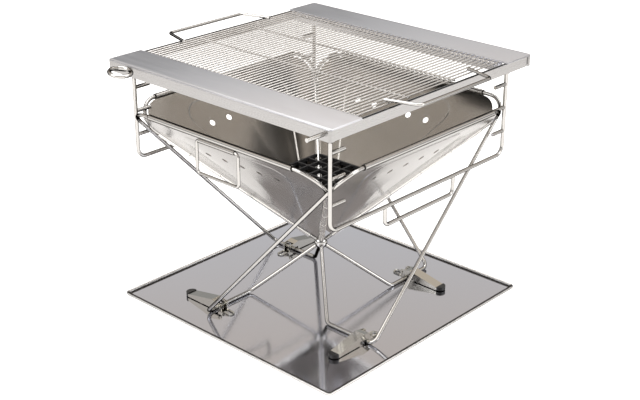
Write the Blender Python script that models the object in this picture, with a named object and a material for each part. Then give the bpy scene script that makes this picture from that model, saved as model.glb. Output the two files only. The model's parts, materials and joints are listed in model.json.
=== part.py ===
"""Folding charcoal grill on four wire legs, with a square base plate and a lift-off grill net.

Units are metres and +Z is up. The origin is the middle of the base plate's underside. The left side of the
grill is at -X, the front at -Y, the right at +X and the back at +Y.
"""

import math

import bmesh
import bpy
from mathutils import Matrix, Vector

# Clearances
FIT_GAP = 0.0003
SEAT_GAP = 0.0003
BORE_GAP = 0.0004
KNUCKLE_GAP = 0.001

# Base plate
PLATE_SIDE = 0.450
PLATE_SHEET = 0.001
PLATE_CORNER = 0.008
RIM_BEAD_HEIGHT = 0.005
RIM_BEAD_WIDTH = 0.0045

# Bowl: an upside-down square pyramid
RIM_HALF = 0.215
RIM_Z = 0.320
HUB_Z = 0.088
SIDE_SHEET = 0.001
WIRE = 0.003
HEM_WALL = 0.001
HEM_END_GAP = 0.001
LEG_TOP_INSET = 0.025
LEG_STAND_OFF = 0.00275
LEG_LEAVES_HEM = 0.006
LEG_FOOT_U = 0.180
FOOT_INNER_U = 0.085
PIN_BEND = 0.0355
LEG_BEND = 0.0285
FOOT_BEND = 0.012
HINGE_LOW = 0.022
HINGE_TOP_INSET = 0.0705
KNUCKLE_COUNT = 5
KNUCKLE_WALL = 0.0012
EDGE_SETBACK = 0.0052
PIN_CORNER_LESS = 0.0035
LEG_CORNER_CUT = 0.030
VENT_RADIUS = 0.005
VENT_SPACING = 0.036
VENT_COUNT = 5
VENT_BELOW_RIM = 0.070
PRESS_DEPTH = 0.001
PRESS_TOP_INSET = 0.093
PRESS_BELOW_RIM = 0.026
PRESS_LOW_HALF = 0.018
PRESS_LOW = 0.070
PRESS_TOP_CORNER = 0.025
PRESS_LOW_CORNER = 0.010

# Hub under the bowl
HUB_RADIUS = 0.0105
WIRE_END = 0.0078

# Bails on the left and right sides
BAIL_WIRE = 0.0024
BAIL_HALF_WIDTH = 0.043
BAIL_DROP = 0.051
BAIL_BEND = 0.006
BAIL_TUBE_HALF = 0.036
BAIL_TUBE_WALL = 0.001
BAIL_BELOW_RIM = 0.0048
BAIL_STAND_OFF = 0.0056

# Charcoal grate
GRATE_HALF = 0.0895
GRATE_CELLS = 7
GRATE_BAR = 0.0035
GRATE_HEIGHT = 0.006
GRATE_CORNER_CUT = 0.0085

# Support frames at the front and back
POST_INSET = 0.017
FRAME_INSET = 0.015
FRAME_BOTTOM_Z = 0.237
FRAME_BEND = 0.014
STUB_REACH = 0.028
STUB_BELOW_JOG = 0.0155
STUB_LOW_Z = 0.275
LOOP_LEFT_X = -0.083
LOOP_RIGHT_X = 0.074
LOOP_DEPTH = 0.029
LOOP_BEND = 0.008
POST_JOG_DROP = 0.022
FRONT_PIVOT_OUT = 0.012
FRONT_PIVOT_DROP = 0.009
BACK_PIVOT_IN = 0.018
BACK_PIVOT_DROP = 0.0075
PIVOT_PAST_POST = 0.009
PEG_REACH = 0.030
HIDDEN_TIP_INSET = 0.009
RING_RADIUS = 0.016
RING_OUT = 0.0238
RING_RISE = 0.0065
RING_TILT = math.radians(8.0)
RING_GAP_ANGLE = math.radians(28.0)

# Top frame
TOP_OVERHANG = 0.010
TOP_Z = 0.397
APRON = 0.018
TOP_SHEET = 0.0012
SHELF_WIDTH = 0.062
SHELF_CORNER = 0.005
APRON_WRAP = 0.008
RAIL_SPAN = 0.0075
RAIL_TOP_DROP = 0.003
RAIL_SIDE_GAP = 0.0015
RAIL_END_GAP = 0.0005
LEDGE_REACH = 0.013
PEG_HOLE_GAP = 0.0008

# Grill net
BAR_PITCH = 0.0084
NET_SIDE_GAP = 0.0065
BAR_SIZE = 0.0026
BAR_END_GAP = 0.002
ROD_SIZE = 0.003
ROD_SINK = 0.0006
ROD_INSET = 0.00575
ROD_COUNT = 4
ROD_PAST_BARS = 0.002
HANDLE_WIRE = 0.0024
HANDLE_OVERHANG = 0.029
HANDLE_TIP_HALF = 0.079
HANDLE_ROOT_HALF = 0.094
HANDLE_ROOT_INSET = 0.022
HANDLE_BEND = 0.007

# Foot latches: measured outward from the foot wire they hold
LATCH_ALONG = {"front": 0.157, "left": 0.155, "right": 0.134, "back": 0.140}
LATCH_PIVOT_IN = 0.010
LATCH_PIVOT_UP = 0.011
LATCH_PIN = 0.0015
LATCH_PIN_HALF = 0.0105
PIN_COVER = 0.003
LEVER_HALF = 0.009
LEVER_SHEET = 0.0012
LEVER_LENGTH = 0.062
LEVER_ROOT_Z = 0.018
LEVER_TIP_Z = 0.007
LEVER_OVER_WIRE = 0.0009
LEVER_FOOT_Z = 0.0024
LEVER_SHOULDER = 0.0055
LEVER_HEEL = 0.0135
CAP_RADIUS = 0.0092
CAP_HEIGHT = 0.006
BRACKET_HALF = 0.0065
BRACKET_SHEET = 0.0012
BRACKET_BACK = 0.018
BRACKET_FRONT = 0.006
KEEPER_WIRE = 0.0012
KEEPER_HALF = 0.005
KEEPER_REACH = 0.014
KEEPER_BEND = 0.004

# Derived measures of the bowl
RISE = RIM_Z - HUB_Z
SLANT = math.hypot(RIM_HALF, RISE)
OUTWARD = RIM_HALF / SLANT
UPWARD = RISE / SLANT
HALF_ANGLE = math.atan2(RIM_HALF, SLANT)
EDGE_LENGTH = math.hypot(RIM_HALF, SLANT)
FOOT_Z = PLATE_SHEET + FIT_GAP + WIRE
FOOT_W = -(HUB_Z - FOOT_Z) / UPWARD
FOOT_X = -FOOT_W * OUTWARD
HINGE_TOP = EDGE_LENGTH - HINGE_TOP_INSET
HEM_HALF = RIM_HALF - PIN_BEND / math.tan(math.pi / 4 - HALF_ANGLE / 2) - HEM_END_GAP
LEG_TOP_U = RIM_HALF - LEG_TOP_INSET
PIN_CORNER_CUT = PIN_BEND - PIN_CORNER_LESS
PRESS_TOP_HALF = RIM_HALF - PRESS_TOP_INSET
LEVER_NOTCH_Z = FOOT_Z + WIRE + LEVER_OVER_WIRE

# Derived measures of the support frames and the top frame
TOP_SIDE = 2 * (RIM_HALF + TOP_OVERHANG)
POST_HALF = RIM_HALF - POST_INSET
FRAME_PLANE = RIM_HALF - FRAME_INSET
FRONT_PIVOT_X = POST_HALF + PIVOT_PAST_POST
FRONT_PIVOT_Y = FRAME_PLANE + FRONT_PIVOT_OUT
FRONT_PIVOT_Z = TOP_Z - FRONT_PIVOT_DROP
BACK_PIVOT_Y = FRAME_PLANE - BACK_PIVOT_IN
BACK_PIVOT_Z = TOP_Z - BACK_PIVOT_DROP
POST_JOG_Z = FRONT_PIVOT_Z - POST_JOG_DROP
STUB_TOP_Z = POST_JOG_Z - STUB_BELOW_JOG
PEG_TIP_X = TOP_SIDE / 2 + PEG_REACH
HIDDEN_TIP_X = TOP_SIDE / 2 - HIDDEN_TIP_INSET
RING_CENTRE_X = TOP_SIDE / 2 + RING_OUT
APRON_WRAP_X = TOP_SIDE / 2 - APRON_WRAP
RAIL_INNER = TOP_SIDE / 2 - RAIL_SPAN
BAR_HALF = TOP_SIDE / 2 - SHELF_WIDTH - BAR_END_GAP
BAR_COUNT = 2 * int((RAIL_INNER - NET_SIDE_GAP) / BAR_PITCH) + 1
ROD_SPACING = 2 * (BAR_HALF - ROD_INSET) / (ROD_COUNT - 1)
HANDLE_OUT_Y = TOP_SIDE / 2 + HANDLE_OVERHANG
HANDLE_ROOT_Y = TOP_SIDE / 2 - HANDLE_ROOT_INSET

# Counts of steps in round shapes
FINE_STEPS = 2
BORE_STEPS = 2
BEND_STEPS = 4

STEEL = (0.62, 0.62, 0.64)
BRUSHED = (0.52, 0.52, 0.55)
BLACK = (0.02, 0.02, 0.02)

# Finishes: colour, roughness and metallic
POLISHED = (STEEL, 0.12, 1.0)
SATIN = (BRUSHED, 0.35, 1.0)
DARK = (BLACK, 0.55, 0.0)

TURNS = {"left": 0, "front": 1, "right": 2, "back": 3}


def clear_scene():
    """Remove every object that the new file starts with."""
    for item in list(bpy.data.objects):
        bpy.data.objects.remove(item, do_unlink=True)


def side_matrix(turn):
    """Matrix from a bowl side's own axes (up the slope, along the rim, outward) to the world."""
    plane = Matrix((
        (-OUTWARD, 0.0, -UPWARD, 0.0),
        (0.0, 1.0, 0.0, 0.0),
        (UPWARD, 0.0, -OUTWARD, HUB_Z),
        (0.0, 0.0, 0.0, 1.0),
    ))
    return Matrix.Rotation(turn * math.pi / 2, 4, "Z") @ plane


def edge_point(along, inset, hand):
    """Point of a bowl side at a distance along its sloping edge and in from it; hand is -1 or +1."""
    up = along * math.cos(HALF_ANGLE) + inset * math.sin(HALF_ANGLE)
    across = along * math.sin(HALF_ANGLE) - inset * math.cos(HALF_ANGLE)
    return Vector((up, hand * across, 0.0))


def rounded(points, radii, closed=False):
    """Path with its corners rounded; a radius of 0 leaves a corner as it is."""
    path = []
    last = len(points) - 1
    for index, point in enumerate(points):
        radius = radii[index]
        at_end = not closed and index in (0, last)
        if at_end or radius == 0:
            path.append(Vector(point))
            continue
        before = (Vector(points[index - 1]) - point).normalized()
        after = (Vector(points[(index + 1) % len(points)]) - point).normalized()
        half = before.angle(after) / 2
        middle = point + (before + after).normalized() * radius / math.sin(half)
        start = point + before * radius / math.tan(half) - middle
        end = point + after * radius / math.tan(half) - middle
        axis = start.cross(end).normalized()
        turn = math.pi - 2 * half
        for step in range(BEND_STEPS + 1):
            path.append(middle + Matrix.Rotation(turn * step / BEND_STEPS, 3, axis) @ start)
    return path


def weld(mesh):
    """Merge the points of a mesh that lie together and face its surface outward."""
    build = bmesh.new()
    build.from_mesh(mesh)
    bmesh.ops.remove_doubles(build, verts=build.verts, dist=1e-7)
    bmesh.ops.recalc_face_normals(build, faces=build.faces)
    build.to_mesh(mesh)
    build.free()
    return mesh


def temporary(mesh):
    """Object that carries a mesh while modifiers work on it."""
    item = bpy.data.objects.new("temporary", mesh)
    bpy.context.scene.collection.objects.link(item)
    return item


def evaluated_mesh(item):
    """Mesh of an object after its curve bevel or modifiers."""
    graph = bpy.context.evaluated_depsgraph_get()
    return bpy.data.meshes.new_from_object(item.evaluated_get(graph))


def tube(path, radius, closed=False, roundness=FINE_STEPS):
    """Solid round wire along a path."""
    curve = bpy.data.curves.new("wire", "CURVE")
    curve.dimensions = "3D"
    curve.bevel_depth = radius
    curve.bevel_resolution = roundness
    curve.use_fill_caps = True
    spline = curve.splines.new("POLY")
    spline.points.add(len(path) - 1)
    for knot, point in zip(spline.points, path):
        knot.co = (point[0], point[1], point[2], 1.0)
    spline.use_cyclic_u = closed
    item = bpy.data.objects.new("wire", curve)
    bpy.context.scene.collection.objects.link(item)
    mesh = evaluated_mesh(item)
    bpy.data.objects.remove(item, do_unlink=True)
    return weld(mesh)


def prism(outline, low, high):
    """Flat outline in X and Y, filled and given thickness from low to high along Z."""
    build = bmesh.new()
    corners = [build.verts.new((point[0], point[1], low)) for point in outline]
    face = build.faces.new(corners)
    grown = bmesh.ops.extrude_face_region(build, geom=[face])
    raised = [part for part in grown["geom"] if isinstance(part, bmesh.types.BMVert)]
    bmesh.ops.translate(build, verts=raised, vec=(0.0, 0.0, high - low))
    bmesh.ops.recalc_face_normals(build, faces=build.faces)
    mesh = bpy.data.meshes.new("prism")
    build.to_mesh(mesh)
    build.free()
    return mesh


def block(low, high):
    """Box between two opposite corners."""
    outline = ((low[0], low[1]), (high[0], low[1]), (high[0], high[1]), (low[0], high[1]))
    return prism(outline, low[2], high[2])


def sideways_prism(outline, half_width):
    """Outline in X and Z given thickness along Y, the same to each side of the middle."""
    mesh = prism(outline, -half_width, half_width)
    mesh.transform(Matrix.Rotation(math.pi / 2, 4, "X"))
    return mesh


def gathered(meshes):
    """One mesh that holds several separate ones."""
    build = bmesh.new()
    for mesh in meshes:
        build.from_mesh(mesh)
    mesh = bpy.data.meshes.new("gathered")
    build.to_mesh(mesh)
    build.free()
    return mesh


def combined(first, added=(), removed=()):
    """First mesh with others joined to it and then others cut from it."""
    item = temporary(first)
    tools = []
    for operation, meshes in (("UNION", added), ("DIFFERENCE", removed)):
        for mesh in meshes:
            tool = temporary(mesh)
            tool.hide_render = True
            tools.append(tool)
            change = item.modifiers.new(operation, "BOOLEAN")
            change.operation = operation
            change.solver = "EXACT"
            change.object = tool
    mesh = evaluated_mesh(item)
    for used in [item, *tools]:
        bpy.data.objects.remove(used, do_unlink=True)
    return mesh


def material(name, colour, roughness, metallic=1.0):
    """Plain surface for one node."""
    made = bpy.data.materials.new(name)
    made.use_nodes = True
    shader = made.node_tree.nodes["Principled BSDF"]
    shader.inputs["Base Color"].default_value = (*colour, 1.0)
    shader.inputs["Roughness"].default_value = roughness
    shader.inputs["Metallic"].default_value = metallic
    return made


def place(name, mesh, finish, matrix=None):
    """Named object of the finished grill; several may share one mesh."""
    item = bpy.data.objects.new(name, mesh)
    bpy.context.scene.collection.objects.link(item)
    item.matrix_world = matrix if matrix is not None else Matrix()
    colour, roughness, metallic = finish
    made = material(name, colour, roughness, metallic)
    if not mesh.materials:
        mesh.materials.append(made)
    item.material_slots[0].link = "OBJECT"
    item.material_slots[0].material = made
    return item


def place_about(name, mesh, finish, origin):
    """Object whose origin is a given point, for a piece that turns about it."""
    mesh.transform(Matrix.Translation(-Vector(origin)))
    return place(name, mesh, finish, Matrix.Translation(origin))


def square_loop(half, corner, height):
    """Rounded square at one height, as a ring of points."""
    corners = [
        Vector((half, -half, height)),
        Vector((half, half, height)),
        Vector((-half, half, height)),
        Vector((-half, -half, height)),
    ]
    return rounded(corners, [corner] * len(corners), closed=True)


def stacked(loops):
    """Closed body through rings with the same number of points, capped at the first and last."""
    build = bmesh.new()
    rings = [[build.verts.new(point) for point in loop] for loop in loops]
    for low, high in zip(rings, rings[1:]):
        for index in range(len(low)):
            after = (index + 1) % len(low)
            build.faces.new((low[index], low[after], high[after], high[index]))
    build.faces.new(rings[0])
    build.faces.new(rings[-1])
    bmesh.ops.recalc_face_normals(build, faces=build.faces)
    mesh = bpy.data.meshes.new("stacked")
    build.to_mesh(mesh)
    build.free()
    return mesh


def make_base_plate():
    """Flat sheet with a rounded bead raised along its rim."""
    half = PLATE_SIDE / 2
    inner = half - RIM_BEAD_WIDTH
    shoulder = RIM_BEAD_WIDTH / 4
    middle = RIM_BEAD_HEIGHT / 2
    loops = [
        square_loop(half - shoulder, PLATE_CORNER - shoulder, 0.0),
        square_loop(half, PLATE_CORNER, middle),
        square_loop(half - shoulder, PLATE_CORNER - shoulder, RIM_BEAD_HEIGHT),
        square_loop(inner + shoulder, PLATE_CORNER - 3 * shoulder, RIM_BEAD_HEIGHT),
        square_loop(inner, PLATE_CORNER - RIM_BEAD_WIDTH, middle),
        square_loop(inner - shoulder, PLATE_CORNER - RIM_BEAD_WIDTH - shoulder, PLATE_SHEET),
    ]
    place("base_plate", stacked(loops), POLISHED)


def knuckle_spans(owned_first):
    """Start and end along the edge of each knuckle that one side owns."""
    step = (HINGE_TOP - HINGE_LOW) / KNUCKLE_COUNT
    first = 0 if owned_first else 1
    return [
        (HINGE_LOW + index * step + KNUCKLE_GAP / 2, HINGE_LOW + (index + 1) * step - KNUCKLE_GAP / 2)
        for index in range(first, KNUCKLE_COUNT, 2)
    ]


def edge_outline(hand, spans):
    """Points up one sloping edge of a bowl side, stepping out to each knuckle that it owns."""
    tab_inset = WIRE + BORE_GAP + KNUCKLE_WALL / 2
    points = [edge_point(HINGE_LOW, EDGE_SETBACK, hand)]
    for start, end in spans:
        tab_start = start + KNUCKLE_GAP
        tab_end = end - KNUCKLE_GAP
        points.append(edge_point(tab_start, EDGE_SETBACK, hand))
        points.append(edge_point(tab_start, tab_inset, hand))
        points.append(edge_point(tab_end, tab_inset, hand))
        points.append(edge_point(tab_end, EDGE_SETBACK, hand))
    return points


def sheet_corner(hand):
    """Sharp top corner of a side's sheet before it is rounded."""
    top = SLANT - WIRE - BORE_GAP - HEM_WALL / 2
    along = (top - EDGE_SETBACK * math.sin(HALF_ANGLE)) / math.cos(HALF_ANGLE)
    return edge_point(along, EDGE_SETBACK, hand)


def side_outline():
    """Outline of one bowl side's flat sheet, in its own plane."""
    pin_edge = edge_outline(-1, knuckle_spans(True))
    leg_edge = edge_outline(1, knuckle_spans(False))
    leg_edge.reverse()
    points = [*pin_edge, sheet_corner(-1), sheet_corner(1), *leg_edge]
    radii = [0.0] * len(points)
    radii[len(pin_edge)] = PIN_CORNER_CUT
    radii[len(pin_edge) + 1] = LEG_CORNER_CUT
    return rounded(points, radii, closed=True)


def press_outline(inset):
    """Outline of the pressed panel, drawn in by an inset."""
    high = SLANT - PRESS_BELOW_RIM - inset
    low = PRESS_LOW + inset
    wide = PRESS_TOP_HALF - inset
    narrow = PRESS_LOW_HALF - inset
    points = [
        Vector((low, -narrow, 0.0)),
        Vector((high, -wide, 0.0)),
        Vector((high, wide, 0.0)),
        Vector((low, narrow, 0.0)),
    ]
    radii = [PRESS_LOW_CORNER, PRESS_TOP_CORNER, PRESS_TOP_CORNER, PRESS_LOW_CORNER]
    return rounded(points, [radius - inset for radius in radii], closed=True)


def vent_cutters():
    """Round vent holes in a row below the rim."""
    cutters = []
    up = SLANT - VENT_BELOW_RIM
    for index in range(VENT_COUNT):
        across = (index - (VENT_COUNT - 1) / 2) * VENT_SPACING
        ends = [Vector((up, across, -3 * SIDE_SHEET)), Vector((up, across, 4 * SIDE_SHEET))]
        cutters.append(tube(ends, VENT_RADIUS, roundness=BORE_STEPS))
    return cutters


def knuckle_tubes(radius, past_end):
    """Solid rods where a side's hinge knuckles go, longer by past_end at each end."""
    rods = []
    for hand, spans in ((-1, knuckle_spans(True)), (1, knuckle_spans(False))):
        for start, end in spans:
            ends = [edge_point(start - past_end, 0.0, hand), edge_point(end + past_end, 0.0, hand)]
            rods.append(tube(ends, radius, roundness=BORE_STEPS))
    return rods


def bail_line(half):
    """Straight line of the bail's top bar, in the side's own axes."""
    up = SLANT - BAIL_BELOW_RIM
    return [Vector((up, -half, BAIL_STAND_OFF)), Vector((up, half, BAIL_STAND_OFF))]


def make_side_mesh(with_bail):
    """Bowl side: sheet with pressed panel, vents, rolled hem and hinge knuckles."""
    bore = WIRE + BORE_GAP
    half_sheet = SIDE_SHEET / 2
    hem_line = [Vector((SLANT, -HEM_HALF, 0.0)), Vector((SLANT, HEM_HALF, 0.0))]
    hem_cut = [Vector((SLANT, -HEM_HALF - KNUCKLE_GAP, 0.0)), Vector((SLANT, HEM_HALF + KNUCKLE_GAP, 0.0))]
    sheet = prism(side_outline(), -half_sheet, half_sheet)
    press_overlap = SIDE_SHEET / 5
    panel = prism(press_outline(0.0), half_sheet - press_overlap, half_sheet + PRESS_DEPTH)
    pocket = prism(press_outline(PRESS_DEPTH + press_overlap), -SIDE_SHEET, half_sheet + press_overlap / 2)
    added = [panel, tube(hem_line, bore + HEM_WALL, roundness=BORE_STEPS)]
    added.append(gathered(knuckle_tubes(bore + KNUCKLE_WALL, 0.0)))
    bores = [tube(hem_cut, bore, roundness=BORE_STEPS), *knuckle_tubes(bore, KNUCKLE_GAP / 4)]
    if with_bail:
        holder = BAIL_WIRE + BORE_GAP
        added.append(tube(bail_line(BAIL_TUBE_HALF), holder + BAIL_TUBE_WALL, roundness=BORE_STEPS))
        bores.append(tube(bail_line(BAIL_TUBE_HALF + KNUCKLE_GAP), holder, roundness=BORE_STEPS))
    return combined(sheet, added, [gathered(bores), pocket, gathered(vent_cutters())])


def side_wire_path():
    """Path of one side's wire: hub, hinge edge, rim, leg, foot and back to the hub."""
    foot_inner = Vector((FOOT_W, FOOT_INNER_U, 0.0))
    points = [
        edge_point(WIRE_END, 0.0, -1),
        edge_point(EDGE_LENGTH, 0.0, -1),
        Vector((SLANT, HEM_HALF + LEG_LEAVES_HEM, 0.0)),
        Vector((SLANT, LEG_TOP_U, LEG_STAND_OFF)),
        Vector((FOOT_W, LEG_FOOT_U, 0.0)),
        foot_inner,
        foot_inner.normalized() * WIRE_END,
    ]
    return rounded(points, [0.0, PIN_BEND, 0.0, LEG_BEND, FOOT_BEND, FOOT_BEND, 0.0])


def make_bowl_sides():
    """Four bowl sides and their four wires."""
    plain = make_side_mesh(False)
    bailed = make_side_mesh(True)
    wire = tube(side_wire_path(), WIRE)
    for name, turn in TURNS.items():
        place(f"bowl_side_{name}", bailed if turn % 2 == 0 else plain, POLISHED, side_matrix(turn))
        place(f"side_wire_{name}", wire, POLISHED, side_matrix(turn))


def make_hub():
    """Ball with a pocket for each end of the four wires."""
    build = bmesh.new()
    bmesh.ops.create_icosphere(build, subdivisions=2, radius=HUB_RADIUS)
    ball = bpy.data.meshes.new("hub")
    build.to_mesh(ball)
    build.free()
    path = side_wire_path()
    cutters = []
    for turn in TURNS.values():
        spin = side_matrix(turn)
        for end in (path[0], path[-1]):
            way = end.normalized()
            ends = [spin @ (way * (WIRE_END - FIT_GAP)), spin @ (way * 2 * HUB_RADIUS)]
            cutters.append(tube(ends, WIRE + 2 * FIT_GAP))
    ball.transform(Matrix.Translation((0.0, 0.0, HUB_Z)))
    place("hub", combined(ball, removed=cutters), POLISHED)


def bail_axis():
    """Middle of the left bail's top bar in the world."""
    line = bail_line(0.0)
    return side_matrix(TURNS["left"]) @ line[0]


def make_bails():
    """Closed wire loop hanging under the hem, on the left and the right."""
    low = -BAIL_DROP
    points = [
        Vector((0.0, -BAIL_HALF_WIDTH, 0.0)),
        Vector((0.0, BAIL_HALF_WIDTH, 0.0)),
        Vector((0.0, BAIL_HALF_WIDTH, low)),
        Vector((0.0, -BAIL_HALF_WIDTH, low)),
    ]
    mesh = tube(rounded(points, [BAIL_BEND] * len(points), closed=True), BAIL_WIRE, closed=True)
    spot = Matrix.Translation(bail_axis())
    for name in ("left", "right"):
        spin = Matrix.Rotation(TURNS[name] * math.pi / 2, 4, "Z")
        place(f"bail_{name}", mesh, POLISHED, spin @ spot)


def grate_seat_z():
    """Height at which the grate's edge meets the bowl sides."""
    slack = (SIDE_SHEET / 2 + SEAT_GAP) / UPWARD
    return HUB_Z + (GRATE_HALF + slack) * UPWARD / OUTWARD


def make_grate():
    """Square lattice of bars with its corners cut off, lying in the bowl."""
    low = grate_seat_z()
    high = low + GRATE_HEIGHT
    pitch = (2 * GRATE_HALF - GRATE_BAR) / GRATE_CELLS
    cut = GRATE_CORNER_CUT
    half = GRATE_HALF
    outline = [
        (half, -half + cut), (half, half - cut), (half - cut, half), (-half + cut, half),
        (-half, half - cut), (-half, -half + cut), (-half + cut, -half), (half - cut, -half),
    ]
    holes = []
    opening = pitch - GRATE_BAR
    for column in range(GRATE_CELLS):
        for row in range(GRATE_CELLS):
            left = -half + GRATE_BAR + column * pitch
            near = -half + GRATE_BAR + row * pitch
            floor, roof = low - GRATE_BAR, high + GRATE_BAR
            holes.append(block((left, near, floor), (left + opening, near + opening, roof)))
    mesh = combined(prism(outline, low, high), removed=[gathered(holes)])
    place("charcoal_grate", mesh, DARK)


def corner_wire_height():
    """Height of a side's corner wire where it crosses the plane of a support frame."""
    up = FRAME_PLANE / OUTWARD
    return HUB_Z + up * UPWARD


def stub_heights():
    """Heights of the three hooking stubs; the middle one rests on the bowl's corner wire."""
    rest = corner_wire_height() + (2 * WIRE + SEAT_GAP) / OUTWARD
    return STUB_TOP_Z, rest, STUB_LOW_Z


def frame_body(path, plane):
    """Wire along a path with its stubs and its handle loop, in the plane at one Y."""
    added = []
    for hand in (-1, 1):
        for height in stub_heights():
            root = Vector((hand * POST_HALF, plane, height))
            added.append(tube([root, root - Vector((hand * STUB_REACH, 0.0, 0.0))], WIRE))
    low = FRAME_BOTTOM_Z - LOOP_DEPTH
    loop = [
        Vector((LOOP_LEFT_X, plane, FRAME_BOTTOM_Z)),
        Vector((LOOP_LEFT_X, plane, low)),
        Vector((LOOP_RIGHT_X, plane, low)),
        Vector((LOOP_RIGHT_X, plane, FRAME_BOTTOM_Z)),
    ]
    added.append(tube(rounded(loop, [0.0, LOOP_BEND, LOOP_BEND, 0.0]), WIRE))
    return combined(tube(path, WIRE), added)


def post_base(hand, plane):
    """Lower corner of a support frame on one side."""
    return Vector((hand * POST_HALF, plane, FRAME_BOTTOM_Z))


def make_front_frame():
    """Front support frame, whose left end is a peg through the left shelf."""
    plane = -FRAME_PLANE
    points = [
        Vector((-PEG_TIP_X, -FRONT_PIVOT_Y, FRONT_PIVOT_Z)),
        Vector((-FRONT_PIVOT_X, -FRONT_PIVOT_Y, FRONT_PIVOT_Z)),
        Vector((-POST_HALF, plane, POST_JOG_Z)),
        post_base(-1, plane),
        post_base(1, plane),
        Vector((POST_HALF, plane, POST_JOG_Z)),
        Vector((FRONT_PIVOT_X, -FRONT_PIVOT_Y, FRONT_PIVOT_Z)),
        Vector((HIDDEN_TIP_X, -FRONT_PIVOT_Y, FRONT_PIVOT_Z)),
    ]
    small = 2 * WIRE
    path = rounded(points, [0.0, small, small, FRAME_BEND, FRAME_BEND, small, small, 0.0])
    origin = (0.0, -FRONT_PIVOT_Y, FRONT_PIVOT_Z)
    place_about("support_frame_front", frame_body(path, plane), POLISHED, origin)


def ring_points():
    """Points round the carrying ring outside the left shelf, tilted down toward the front."""
    centre = Vector((-RING_CENTRE_X, BACK_PIVOT_Y - RING_RADIUS, BACK_PIVOT_Z + RING_RISE))
    tilt = Matrix.Rotation(RING_TILT, 4, "X")
    hinge = Vector((0.0, RING_RADIUS, 0.0))
    points = []
    sweep = 2 * math.pi - RING_GAP_ANGLE
    count = 5 * BEND_STEPS
    for step in range(count + 1):
        turn = math.pi / 2 + sweep * step / count
        spoke = Vector((math.cos(turn), math.sin(turn), 0.0)) * RING_RADIUS
        points.append(centre + hinge + tilt @ (spoke - hinge))
    points.reverse()
    return points


def make_back_frame():
    """Back support frame, whose left end is a ring outside the left shelf."""
    plane = FRAME_PLANE
    points = [
        ring_points()[-1],
        Vector((-TOP_SIDE / 2 - WIRE, BACK_PIVOT_Y, BACK_PIVOT_Z)),
        Vector((-FRONT_PIVOT_X, BACK_PIVOT_Y, BACK_PIVOT_Z)),
        Vector((-POST_HALF, plane, POST_JOG_Z)),
        post_base(-1, plane),
        post_base(1, plane),
        Vector((POST_HALF, plane, POST_JOG_Z)),
        Vector((FRONT_PIVOT_X, BACK_PIVOT_Y, BACK_PIVOT_Z)),
        Vector((HIDDEN_TIP_X, BACK_PIVOT_Y, BACK_PIVOT_Z)),
    ]
    small = 2 * WIRE
    path = rounded(points, [0.0, WIRE, small, small, FRAME_BEND, FRAME_BEND, small, small, 0.0])
    path = ring_points()[:-1] + path
    origin = (0.0, BACK_PIVOT_Y, BACK_PIVOT_Z)
    place_about("support_frame_back", frame_body(path, plane), POLISHED, origin)


def shelf_plan(inset):
    """Plan outline of the left shelf, drawn in by an inset."""
    outer = -TOP_SIDE / 2 + inset
    inner = -TOP_SIDE / 2 + SHELF_WIDTH - inset
    points = [
        Vector((outer, outer, 0.0)),
        Vector((inner, outer, 0.0)),
        Vector((inner, -outer, 0.0)),
        Vector((outer, -outer, 0.0)),
    ]
    bend = SHELF_CORNER - inset
    return rounded(points, [bend, 0.0, 0.0, bend], closed=True)


def pivot_hole(y, z):
    """Cutter along X for a support frame's end."""
    ends = [Vector((-TOP_SIDE, y, z)), Vector((-TOP_SIDE / 2 + 2 * TOP_SHEET, y, z))]
    return tube(ends, WIRE + PEG_HOLE_GAP, roundness=BORE_STEPS)


def net_rod_bottom():
    """Height of the underside of the net's cross rods."""
    return TOP_Z - BAR_SIZE + ROD_SINK - ROD_SIZE


def make_shelf(name, turn, holes):
    """Shelf sheet with an apron round its outer side and a ledge that carries the net."""
    low = TOP_Z - APRON
    under = TOP_Z - TOP_SHEET
    inner = -TOP_SIDE / 2 + SHELF_WIDTH
    far = TOP_SIDE
    solid = prism(shelf_plan(0.0), low, TOP_Z)
    cavity = prism(shelf_plan(TOP_SHEET), low - APRON, under)
    rail_room = RAIL_INNER - RAIL_SIDE_GAP
    ends = [
        block((-APRON_WRAP_X, rail_room, low - APRON), (inner + APRON, far, under)),
        block((-APRON_WRAP_X, -far, low - APRON), (inner + APRON, -rail_room, under)),
    ]
    ledge_top = net_rod_bottom() - SEAT_GAP
    ledge_half = rail_room - RAIL_SIDE_GAP
    ledge = block(
        (inner - TOP_SHEET, -ledge_half, ledge_top - TOP_SHEET), (inner + LEDGE_REACH, ledge_half, ledge_top)
    )
    mesh = combined(solid, removed=[cavity, *ends, *holes])
    mesh = combined(mesh, added=[ledge])
    place(name, mesh, SATIN, Matrix.Rotation(turn * math.pi / 2, 4, "Z"))


def make_rail(name, turn):
    """Channel, open at the top, between the shelves; drawn for the front."""
    outer = TOP_SIDE / 2 - RAIL_SIDE_GAP
    half = APRON_WRAP_X - RAIL_END_GAP
    past = half + APRON
    low = TOP_Z - APRON
    high = TOP_Z - RAIL_TOP_DROP
    solid = block((-half, -outer, low), (half, -RAIL_INNER, high))
    groove = block(
        (-past, -outer + TOP_SHEET, low + TOP_SHEET), (past, -RAIL_INNER - TOP_SHEET, high + APRON)
    )
    mesh = combined(solid, removed=[groove])
    place(name, mesh, SATIN, Matrix.Rotation(turn * math.pi, 4, "Z"))


def make_top_frame():
    """Two shelves and two rails."""
    holes = [pivot_hole(-FRONT_PIVOT_Y, FRONT_PIVOT_Z), pivot_hole(BACK_PIVOT_Y, BACK_PIVOT_Z)]
    make_shelf("shelf_left", TURNS["left"], holes)
    make_shelf("shelf_right", TURNS["right"], [])
    make_rail("rail_front", 0)
    make_rail("rail_back", 1)


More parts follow.
